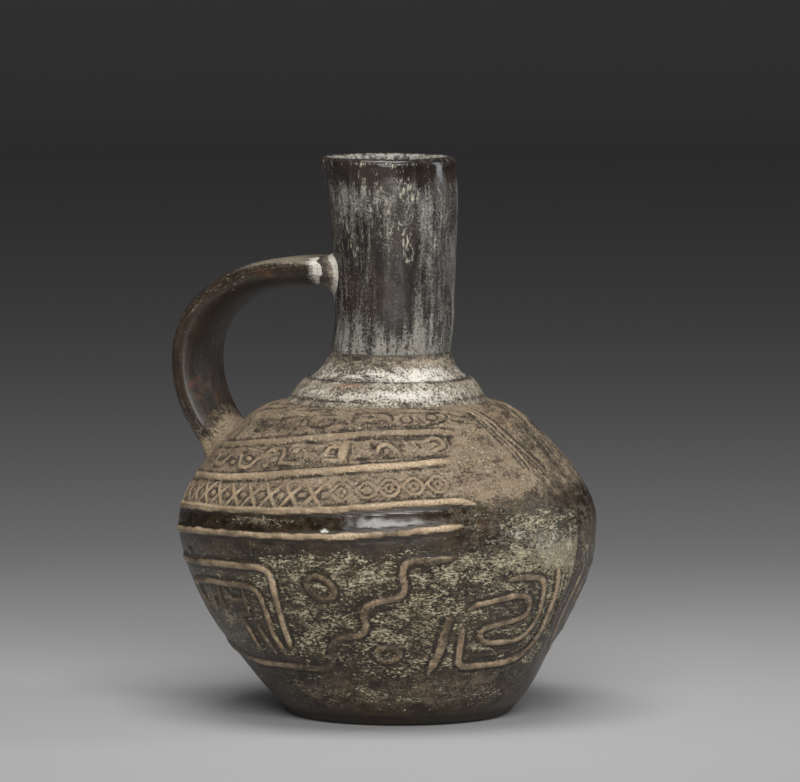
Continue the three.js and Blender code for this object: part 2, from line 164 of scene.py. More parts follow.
class Bench:
    """The node bench of one material."""

    def __init__(self, name: str) -> None:
        """Starts an empty material.

        Args:
            name: the material's name.
        """
        self.material = bpy.data.materials.new(name)
        self.material.use_nodes = True
        self.tree = self.material.node_tree
        self.tree.nodes.clear()

    def node(
        self, kind: str, settings: Mapping[str, Any], sockets: Mapping[Union[str, int], Any]
    ) -> bpy.types.Node:
        """Adds one node, with its settings first and its sockets after.

        Args:
            kind: the node's type.
            settings: its settings by name.
            sockets: a number, Paint, Value, Tone or socket for each input by name or place.

        Returns:
            The new node.
        """
        made = self.tree.nodes.new(kind)
        for name, setting in settings.items():
            setattr(made, name, setting)
        for key, given in sockets.items():
            if isinstance(given, (Value, Tone)):
                self.tree.links.new(given.socket, made.inputs[key])
            elif isinstance(given, bpy.types.NodeSocket):
                self.tree.links.new(given, made.inputs[key])
            elif isinstance(given, Paint):
                made.inputs[key].default_value = given.light()
            else:
                made.inputs[key].default_value = given
        return made

    def mixed(self, first: Union[Tone, Paint], second: Union[Tone, Paint], share: Number) -> Tone:
        """The first colour with a share of the second mixed in."""
        made = self.node(
            "ShaderNodeMix", {"data_type": "RGBA", "clamp_factor": True}, {0: share, 6: first, 7: second}
        )
        return Tone(self, made.outputs[2])

    def painted(self, name: str) -> Value:
        """A number that was painted on the mesh, by its attribute's name."""
        made = self.node("ShaderNodeAttribute", {"attribute_name": name}, {})
        return Value(self, made.outputs["Fac"])

    def place(self) -> bpy.types.NodeSocket:
        """The point on the piece in millimetres."""
        point = self.node("ShaderNodeTexCoord", {}, {}).outputs["Object"]
        return self.node("ShaderNodeVectorMath", {"operation": "SCALE"}, {0: point, "Scale": 1.0 / METRES}).outputs[0]

    def brushed(self, stretch: tuple[float, float, float]) -> bpy.types.NodeSocket:
        """The point along the burnishing stone's strokes, in millimetres, with each axis drawn together."""
        run = self.node("ShaderNodeAttribute", {"attribute_name": "run"}, {}).outputs["Vector"]
        return self.node("ShaderNodeVectorMath", {"operation": "MULTIPLY"}, {0: run, 1: stretch}).outputs[0]

    def noise(
        self, place: bpy.types.NodeSocket, size: float, detail: float, rough: float, bend: float = 0.0
    ) -> Value:
        """Cloudy noise about 0.5, whose largest clouds have the given size in millimetres."""
        made = self.node(
            "ShaderNodeTexNoise",
            {"noise_dimensions": "3D"},
            {"Vector": place, "Scale": 1.0 / size, "Detail": detail, "Roughness": rough, "Distortion": bend},
        )
        return Value(self, made.outputs["Fac"])

    def pits(self, place: bpy.types.NodeSocket, size: float) -> Value:
        """The distance to the nearest of many scattered points, a given size apart in millimetres."""
        made = self.node("ShaderNodeTexVoronoi", {"feature": "F1"}, {"Vector": place, "Scale": 1.0 / size})
        return Value(self, made.outputs["Distance"])

    def relief(self, height: Value, depth: float) -> bpy.types.NodeSocket:
        """The normal of a surface with fine relief, whose depth is in millimetres."""
        made = self.node("ShaderNodeBump", {}, {"Height": height, "Distance": depth * METRES, "Strength": 1.0})
        return made.outputs["Normal"]

    def finish(self, colour: Tone, rough: Value, normal: bpy.types.NodeSocket, gloss: float) -> bpy.types.Material:
        """Closes the material with its surface.

        Args:
            colour: the base colour.
            rough: the roughness.
            normal: the normal's socket.
            gloss: the specular level of the whole surface.

        Returns:
            The finished material.
        """
        surface = self.node(
            "ShaderNodeBsdfPrincipled",
            {},
            {"Base Color": colour, "Roughness": rough, "Normal": normal, "Specular IOR Level": gloss},
        )
        self.node("ShaderNodeOutputMaterial", {}, {"Surface": surface.outputs["BSDF"]})
        return self.material


# Finishes


@dataclass(frozen=True)
class Noises:
    """The noises of one surface, from broad clouds to fine grain, each about 0.5."""

    clouds: Value
    patches: Value
    grain: Value
    run: Value
    blots: Value
    scatter: Value
    streaks: Value
    texture: Value


@dataclass(frozen=True)
class Cover:
    """How far each thing covers one surface, from 0 to 1."""

    film: Value
    dust: Value
    speck: Value
    pale_speck: Value
    wear: Value
    cream: Value
    rust: Value
    dirt_and_shade: Value
    hollow: Value
    polish: Value


@dataclass(frozen=True)
class Blackware:
    """Burnished black slip with the dust, crust and stains of long burial.

    Each piece carries painted numbers from 0 to 1: dust, speck, cream, rust and polish say
    where those lie, crest is the worn top of the relief, and the darkening beside and in the relief,
    at joints and under the foot is painted dirt and painted shade.
    """

    name: str
    slip: Paint = Paint(29, 23, 16)
    warm_slip: Paint = Paint(52, 41, 28)
    film: Paint = Paint(92, 79, 60)
    dark_dust: Paint = Paint(98, 83, 64)
    dust: Paint = Paint(137, 119, 95)
    pale_dust: Paint = Paint(190, 174, 148)
    crest: Paint = Paint(168, 142, 110)
    pale_crest: Paint = Paint(204, 187, 160)
    dirt_and_shade: Paint = Paint(36, 27, 18)
    speck: Paint = Paint(154, 143, 115)
    pale_speck: Paint = Paint(204, 193, 166)
    cream: Paint = Paint(214, 207, 194)
    rust: Paint = Paint(116, 80, 50)
    run_stretch: tuple[float, float, float] = (0.2, 1.0, 1.0)
    run_size: float = 2.4
    run_share: float = 0.35
    speck_stretch: tuple[float, float, float] = (0.6, 1.0, 1.0)
    speck_size: float = 1.15
    dust_bite: float = 7.0
    slip_rough: float = 0.36
    dust_rough: float = 0.74
    gloss: float = 0.5
    relief_depth: float = 0.85

    def noises(self, bench: Bench) -> Noises:
        """Adds the noises of the surface.

        Args:
            bench: the material's node bench.

        Returns:
            The noises.
        """
        place = bench.place()
        clouds = bench.noise(place, 15.0, 4.0, 0.6, 0.4)
        patches = bench.noise(place, 4.6, 6.0, 0.66, 0.3)
        grain = bench.noise(place, 0.8, 4.0, 0.66)
        run = bench.noise(bench.brushed(self.run_stretch), self.run_size, 5.0, 0.62)
        strewn = bench.brushed(self.speck_stretch)
        blots = bench.noise(strewn, self.speck_size, 7.0, 0.74, 0.4)
        swarms = bench.noise(strewn, self.speck_size * 4.5, 3.0, 0.6, 0.5)
        flecks = bench.noise(strewn, self.speck_size * 0.5, 4.0, 0.7, 0.6)
        scatter = blots * 0.46 + swarms * 0.26 + flecks * 0.28
        streaks = run * self.run_share + patches * (1.0 - self.run_share)
        return Noises(clouds, patches, grain, run, blots, scatter, streaks, streaks * 0.6 + grain * 0.4)

    def cover(self, bench: Bench, seen: Noises) -> Cover:
        """Works out where the dust, crust, stains, wear, and the painted dirt and shade in the hollows lie.

        Args:
            bench: the material's node bench.
            seen: the surface's noises.

        Returns:
            How far each of them covers the surface.
        """
        hollow, crest, dusty, specked = (bench.painted(label) for label in ("hollow", "crest", "dust", "speck"))
        speck = ((seen.scatter - 0.5) * 24.0 + specked * 4.6 - 2.3 - hollow * 0.8 - crest * 3.4).clipped()
        pale_speck = ((seen.scatter - 0.55) * 24.0 + (seen.grain - 0.5) * 5.0 + specked * 2.0 - 1.0).clipped()
        fine, broad = seen.streaks * 0.5 + seen.grain * 0.5, seen.clouds * 0.4 + seen.patches * 0.6
        return Cover(
            film=(dusty * 0.7 + (seen.streaks - 0.5) * 4.0 + 0.1).clipped(),
            dust=((seen.texture - 0.5) * self.dust_bite + dusty * 2.5 - 0.85 - hollow * 1.1).clipped(),
            speck=speck,
            pale_speck=pale_speck * speck,
            wear=(crest * 2.1 - 0.35 - (seen.texture - 0.46) * 8.0).clipped() * crest.smooth(0.02, 0.5),
            cream=((fine - 0.5) * 7.0 + bench.painted("cream") * 2.8 - 1.2).clipped(),
            rust=((broad - 0.5) * 5.0 + bench.painted("rust") * 2.4 - 1.0).clipped(),
            dirt_and_shade=(hollow * (2.5 - seen.texture * 3.0)).clipped(),
            hollow=hollow,
            polish=bench.painted("polish"),
        )

    def colour(self, bench: Bench, seen: Noises, cover: Cover) -> Tone:
        """Lays the colours over each other, from the slip up.

        Args:
            bench: the material's node bench.
            seen: the surface's noises.
            cover: how far each thing covers the surface.

        Returns:
            The base colour.
        """
        powder = bench.mixed(self.dark_dust, self.dust, seen.texture.smooth(0.42, 0.56))
        powder = powder.toward(self.pale_dust, seen.scatter.smooth(0.5, 0.62) * 0.75)
        worn = bench.mixed(self.crest, self.pale_crest, seen.grain.smooth(0.46, 0.62))
        colour = bench.mixed(self.slip, self.warm_slip, seen.clouds.smooth(0.4, 0.62))
        for laid, share in (
            (self.film, cover.film * 0.7),
            (powder, cover.dust * 0.94),
            (self.speck, cover.speck * 0.94),
            (self.pale_speck, cover.pale_speck * 0.8),
            (self.rust, cover.rust * 0.72),
            # The dark colour in the hollows: painted dirt and painted shade.
            (self.dirt_and_shade, cover.dirt_and_shade * 0.9),
            (worn, cover.wear * 0.94),
            (self.cream, cover.cream * 0.92),
            (self.dirt_and_shade, seen.grain.smooth(0.45, 0.3) * 0.6),
            (self.pale_dust, seen.grain.smooth(0.6, 0.74) * (cover.dust * 0.3 + 0.16)),
        ):
            colour = colour.toward(laid, share)
        return colour

    def material(self) -> bpy.types.Material:
        """Builds the finish.

        Returns:
            The material.
        """
        bench = Bench(self.name)
        seen = self.noises(bench)
        cover = self.cover(bench, seen)
        crust = cover.dust * 0.75 + cover.speck * 0.6 + cover.cream + cover.wear * 0.6 + cover.hollow * 0.5
        crusted = crust.clipped()
        dull = self.slip_rough + crusted * (self.dust_rough - self.slip_rough)
        rough = (dull + (seen.texture - 0.5) * 0.3 - cover.polish * (1.0 - crusted) * 0.19).clipped()
        pitting = bench.pits(bench.place(), 1.7).smooth(0.04, 0.3)
        lumps = seen.patches * 0.4 + seen.grain * 0.3 + seen.run * 0.2 + seen.blots * 0.2
        height = lumps * (0.4 - cover.polish * 0.34 + crusted * 0.7) + pitting * 0.14 * crusted
        height = height + cover.cream * 0.25 + cover.dust * 0.08 + cover.speck * 0.06
        normal = bench.relief(height, self.relief_depth)
        return bench.finish(self.colour(bench, seen, cover), rough, normal, self.gloss)


class Finish(Enum):
    """The finishes of the bottle's pieces."""

    RELIEF = Blackware("blackware_on_the_body")
    NECK = Blackware(
        "blackware_on_the_neck",
        slip=Paint(34, 30, 27),
        warm_slip=Paint(52, 43, 37),
        film=Paint(82, 76, 69),
        dark_dust=Paint(100, 95, 87),
        dust=Paint(142, 138, 128),
        pale_dust=Paint(190, 187, 178),
        speck=Paint(172, 168, 154),
        run_stretch=(1.0, 1.0, 0.1),
        run_size=2.2,
        run_share=0.75,
        speck_stretch=(1.0, 1.0, 0.3),
        dust_bite=9.0,
        slip_rough=0.31,
    )
    HANDLE = Blackware(
        "blackware_on_the_handle",
        slip=Paint(32, 27, 22),
        warm_slip=Paint(54, 43, 33),
        film=Paint(72, 63, 52),
        dark_dust=Paint(90, 80, 67),
        dust=Paint(126, 115, 98),
        pale_dust=Paint(160, 149, 130),
        rust=Paint(112, 70, 42),
        run_stretch=(0.07, 1.0, 1.0),
        run_size=2.0,
        run_share=0.8,
        speck_stretch=(0.3, 1.0, 1.0),
        slip_rough=0.46,
    )
    COLLAR = Blackware(
        "clay_at_the_joints",
        slip=Paint(46, 41, 35),
        warm_slip=Paint(66, 56, 46),
        film=Paint(100, 90, 76),
        dark_dust=Paint(120, 108, 91),
        dust=Paint(164, 149, 127),
        pale_dust=Paint(194, 182, 163),
        cream=Paint(218, 212, 200),
        rust=Paint(138, 92, 56),
        run_share=0.6,
        slip_rough=0.5,
    )
    INSIDE = Blackware(
        "clay_inside",
        slip=Paint(58, 50, 42),
        warm_slip=Paint(80, 67, 54),
        slip_rough=0.7,
    )

    def dress(self, piece: bpy.types.Object) -> None:
        """Gives the piece this finish.

        Args:
            piece: the object to dress.
        """
        made = bpy.data.materials.get(self.value.name) or self.value.material()
        piece.data.materials.clear()
        piece.data.materials.append(made)


# Forms


def smooth_step(value: np.ndarray, low: float, high: float) -> np.ndarray:
    """A smooth rise from 0 at low to 1 at high."""
    share = np.clip((value - low) / (high - low), 0.0, 1.0)
    return share * share * (3.0 - 2.0 * share)


def bell(value: np.ndarray, middle: float, width: float) -> np.ndarray:
    """A soft bell that is 1 at its middle."""
    return np.exp(-(((value - middle) / width) ** 2))


def unit(rows: np.ndarray) -> np.ndarray:
    """The vectors along the last axis, brought to a length of 1."""
    return rows / np.maximum(np.linalg.norm(rows, axis=-1), 1e-9)[..., None]


def outward_of(ahead: np.ndarray, azimuth: np.ndarray) -> np.ndarray:
    """The outward directions of a section that is swept round an upright line.

    Args:
        ahead: the section's own directions, one a row, as radius and height.
        azimuth: the azimuths that it is swept to.

    Returns:
        One direction for each place of the grid, whose last axis is x, y and z.
    """
    angle = np.radians(azimuth)[None, :]
    rising = ahead[:, 1:]
    level = np.broadcast_to(-ahead[:, :1], (len(ahead), len(azimuth)))
    return np.stack([rising * np.sin(angle), -rising * np.cos(angle), level], axis=-1)


def bezier(points: Sequence[tuple[float, float]], count: int) -> np.ndarray:
    """Points on a Bezier curve.

    Args:
        points: its three or four control points.
        count: how many points to give.

    Returns:
        The points, one a row.
    """
    along = np.linspace(0.0, 1.0, count)[:, None]
    degree = len(points) - 1
    shares = [math.comb(degree, i) * along**i * (1.0 - along) ** (degree - i) for i in range(degree + 1)]
    return sum(share * np.array(point) for share, point in zip(shares, points))


def even_points(points: np.ndarray, count: int) -> np.ndarray:
    """Points at even steps along a line of points.

    Args:
        points: the line's points, one a row.
        count: how many points to give.

    Returns:
        The even points, one a row.
    """
    steps = np.linalg.norm(np.diff(points, axis=0), axis=1)
    run = np.concatenate([[0.0], np.cumsum(steps)])
    wanted = np.linspace(0.0, run[-1], count)
    return np.stack([np.interp(wanted, run, column) for column in points.T], axis=1)


class Grain:
    """Smooth seeded noise on points in space."""

    COUNT = 512

    def __init__(self, seed: int) -> None:
        """Draws the noise's values.

        Args:
            seed: what makes this noise differ from another.
        """
        chance = np.random.default_rng(seed)
        self.order = chance.permutation(self.COUNT)
        self.values = chance.uniform(-1.0, 1.0, self.COUNT)

    def at(self, places: np.ndarray, size: float) -> np.ndarray:
        """The noise at some points.

        Args:
            places: the points, whose last axis is x, y and z in millimetres.
            size: the size of a cloud in millimetres.

        Returns:
            Numbers from -1 to 1, one a point.
        """
        scaled = places / size
        cell = np.floor(scaled).astype(int)
        share = scaled - cell
        share = share * share * (3.0 - 2.0 * share)
        total = np.zeros(places.shape[:-1])
        for corner in np.ndindex(2, 2, 2):
            near = cell + np.array(corner)
            mixed = self.order[near[..., 0] % self.COUNT]
            mixed = self.order[(mixed + near[..., 1]) % self.COUNT]
            mixed = self.order[(mixed + near[..., 2]) % self.COUNT]
            weight = np.ones(places.shape[:-1])
            for axis, side in enumerate(corner):
                weight = weight * (share[..., axis] if side else 1.0 - share[..., axis])
            total = total + weight * self.values[mixed]
        return total


@dataclass(frozen=True)
class LeanStep:
    """One sideways shift of the pot's middle line, between two heights."""

    low: float
    high: float
    shift: float


@dataclass(frozen=True)
class PotForm:
    """The plain form of the pot without its relief."""

    foot_radius: float = 38.0
    foot_edge_radius: float = 41.5
    foot_edge_height: float = 3.0
    waist_radius: float = 75.0
    waist_height: float = 69.0
    shoulder_radius: float = 35.4
    shoulder_height: float = 112.8
    seat_height: float = 117.0
    seat_radius: float = 28.0
    body_wall: float = 5.0
    floor_thickness: float = 6.5
    neck_radius: float = 21.4
    neck_flare: float = 3.2
    neck_flare_start: float = 140.0
    neck_wall: float = 4.2
    lip_rounding: float = 2.4
    total_height: float = 200.0
    joint_gap: float = 0.3
    lower_wall_out: float = 6.0
    lower_wall_up: float = 4.0
    waist_below: float = 21.0
    waist_above: float = 15.0
    upper_wall_out: float = 12.0
    upper_wall_down: float = 2.5
    curve_points: int = 300
    leans: tuple[LeanStep, ...] = (
        LeanStep(0.0, 40.0, -4.8),
        LeanStep(70.0, 95.0, -0.8),
        LeanStep(104.0, 124.0, 1.5),
        LeanStep(122.0, 144.0, 2.2),
        LeanStep(178.0, 206.0, -3.4),
    )

    def lean(self, height: np.ndarray) -> np.ndarray:
        """How far the middle of the pot is shifted along X at each height."""
        return sum(step.shift * smooth_step(height, step.low, step.high) for step in self.leans)

    def wall(self) -> np.ndarray:
        """The outer wall from the foot to the shoulder.

        Returns:
            Rows of radius and height.
        """
        lower = bezier(
            [
                (self.foot_edge_radius, self.foot_edge_height),
                (self.foot_edge_radius + self.lower_wall_out, self.foot_edge_height + self.lower_wall_up),
                (self.waist_radius, self.waist_height - self.waist_below),
                (self.waist_radius, self.waist_height),
            ],
            self.curve_points,
        )
        upper = bezier(
            [
                (self.waist_radius, self.waist_height),
                (self.waist_radius, self.waist_height + self.waist_above),
                (self.shoulder_radius + self.upper_wall_out, self.shoulder_height - self.upper_wall_down),
                (self.shoulder_radius, self.shoulder_height),
            ],
            self.curve_points,
        )
        return np.vstack([lower, upper[1:]])

    def wall_radius(self, height: np.ndarray) -> np.ndarray:
        """The radius of the plain outer wall at each height."""
        wall = self.wall()
        return np.interp(height, wall[:, 1], wall[:, 0])

    def neck_outer(self, height: np.ndarray) -> np.ndarray:
        """The outer radius of the neck.

        Args:
            height: the heights.

        Returns:
            The radius at each of them.
        """
        lip = self.total_height - self.lip_rounding
        up = np.clip((height - self.neck_flare_start) / (lip - self.neck_flare_start), 0.0, None)
        return self.neck_radius + self.neck_flare * up * up

    def turned(self, azimuth: np.ndarray, radius: np.ndarray, height: np.ndarray) -> np.ndarray:
        """Points of a round form that leans with the pot.

        Args:
            azimuth: their azimuths.
            radius: their distances from the middle line.
            height: their heights.

        Returns:
            The points, whose last axis is x, y and z.
        """
        angle = np.radians(azimuth)
        x = radius * np.sin(angle) + self.lean(height)
        return np.stack([x, -radius * np.cos(angle), np.broadcast_to(height, x.shape)], axis=-1)


@dataclass(frozen=True)
class Belt:
    """A belt of heights with soft edges: 0 outside it and 1 inside."""

    start: float
    full: float
    fading: float
    end: float

    def on(self, height: np.ndarray) -> np.ndarray:
        """How far each height is inside the belt."""
        return smooth_step(height, self.start, self.full) * (1.0 - smooth_step(height, self.fading, self.end))


@dataclass(frozen=True)
class Patch:
    """A soft-edged patch of dust, crust, stain or polish, or of painted dirt and shade, on a round form."""

    azimuth: float
    height: float
    around: float
    up: float
    strength: float

    def on(self, azimuth: np.ndarray, height: np.ndarray) -> np.ndarray:
        """How strong the patch is at each point."""
        turn = (azimuth - self.azimuth + 180.0) % 360.0 - 180.0
        return self.strength * np.exp(-((turn / self.around) ** 2) - ((height - self.height) / self.up) ** 2)


def patched(patches: Sequence[Patch], azimuth: np.ndarray, height: np.ndarray) -> np.ndarray:
    """The sum of some patches at each point.

    Args:
        patches: the patches.
        azimuth: the points' azimuths.
        height: the points' heights.

    Returns:
        One number a point.
    """
    total = np.zeros(np.broadcast(azimuth, height).shape)
    for patch in patches:
        total = total + patch.on(azimuth, height)
    return total


# The raised pattern


Line = tuple[tuple[float, float], ...]


@dataclass(frozen=True)
class Stroke:
    """One raised line of the pattern, or a groove where its rise is below 0.

    Its corners are pairs of azimuth and height. From 0 to 1, pale is how far its crest is worn
    through to the clay.
    """

    corners: Line
    width: float
    rise: float
    pale: float
    rounding: int

    def rounded(self) -> np.ndarray:
        """The stroke's line with its corners cut round.

        Returns:
            Rows of azimuth and height.
        """
        line = np.array(self.corners, dtype=float)
        near, far = 0.78, 0.22
        for _ in range(self.rounding if len(line) > 2 else 0):
            first = line[:-1] * near + line[1:] * far
            second = line[:-1] * far + line[1:] * near
            cut = np.stack([first, second], axis=1).reshape(-1, 2)
            line = np.vstack([line[:1], cut[1:-1], line[-1:]])
        return line

    def route(self, form: PotForm) -> np.ndarray:
        """Points about a millimetre apart along the stroke on the plain wall.

        Args:
            form: the pot that it lies on.

        Returns:
            The points, one a row.
        """
        degree, step = 1.1, 1.2
        line = self.rounded()
        lengths = np.hypot(np.diff(line[:, 0]) * degree, np.diff(line[:, 1]))
        line = even_points(line, max(2, int(lengths.sum() / step) + 1))
        return form.turned(line[:, 0], form.wall_radius(line[:, 1]), line[:, 1])


@dataclass(frozen=True)
class Band:
    """Lines of the pattern that were cut alike."""

    width: float
    rise: float
    pale: float
    lines: tuple[Line, ...]
    rounding: int = 2

    def strokes(self) -> list[Stroke]:
        """The band's lines as strokes that are cut alike."""
        return [Stroke(line, self.width, self.rise, self.pale, self.rounding) for line in self.lines]


def ring(azimuth: float, height: float, across: float, up: float, slant: float = 0.0) -> Line:
    """A closed ring about a middle, with its half width and half height, and its top pushed by a slant."""
    turns = np.linspace(0.0, 2.0 * math.pi, 17)
    return tuple((azimuth + across * math.cos(t) + slant * math.sin(t), height + up * math.sin(t)) for t in turns)


def along_lattice(azimuth: float, height: float) -> list[tuple[float, float]]:
    """The ten places of the lattice that follow the first one, up the gentle slope of its band."""
    return [(azimuth + 7.0 * index, height + 0.394 * index) for index in range(10)]


def crosses() -> tuple[Line, ...]:
    """The crosses of the lattice.

    Returns:
        The two lines of each cross.
    """
    lines: list[Line] = []
    across = 3.0
    for azimuth, middle in along_lattice(-58.5, 80.6):
        for up in (3.9, -3.9):
            lines.append(((azimuth - across, middle - up), (azimuth + across, middle + up)))
    return tuple(lines)


def cross_dots() -> tuple[Line, ...]:
    """The dot between each two crosses."""
    middles = along_lattice(-55.0, 80.9)
    return tuple(((azimuth - 0.25, height), (azimuth + 0.25, height + 0.1)) for azimuth, height in middles)


def lozenges(across: float, up: float) -> tuple[Line, ...]:
    """The worn lozenges that follow the crosses.

    Args:
        across: half their width in degrees.
        up: half their height in millimetres.

    Returns:
        Their corners.
    """
    lines: list[Line] = []
    for azimuth, middle in ((13.0, 85.5), (20.5, 86.2), (27.2, 86.9), (34.5, 87.4), (42.0, 88.0)):
        left, right = (azimuth - across, middle), (azimuth + across, middle)
        lines.append((left, (azimuth, middle + up), right, (azimuth, middle - up), left))
    return tuple(lines)


def dashes() -> tuple[Line, ...]:
    """The row of short cuts along the top of the shoulder."""
    middles = ((-43.0, 111.7), (-34.6, 112.8), (-26.0, 112.2), (-31.0, 110.2), (-17.6, 112.3), (-21.4, 110.6),
               (-9.2, 111.4), (-3.6, 111.3), (1.6, 111.7), (7.2, 111.4), (-14.0, 110.7), (-38.0, 110.8))
    return tuple(((azimuth - 1.5, height - 0.1), (azimuth + 1.5, height + 0.15)) for azimuth, height in middles)


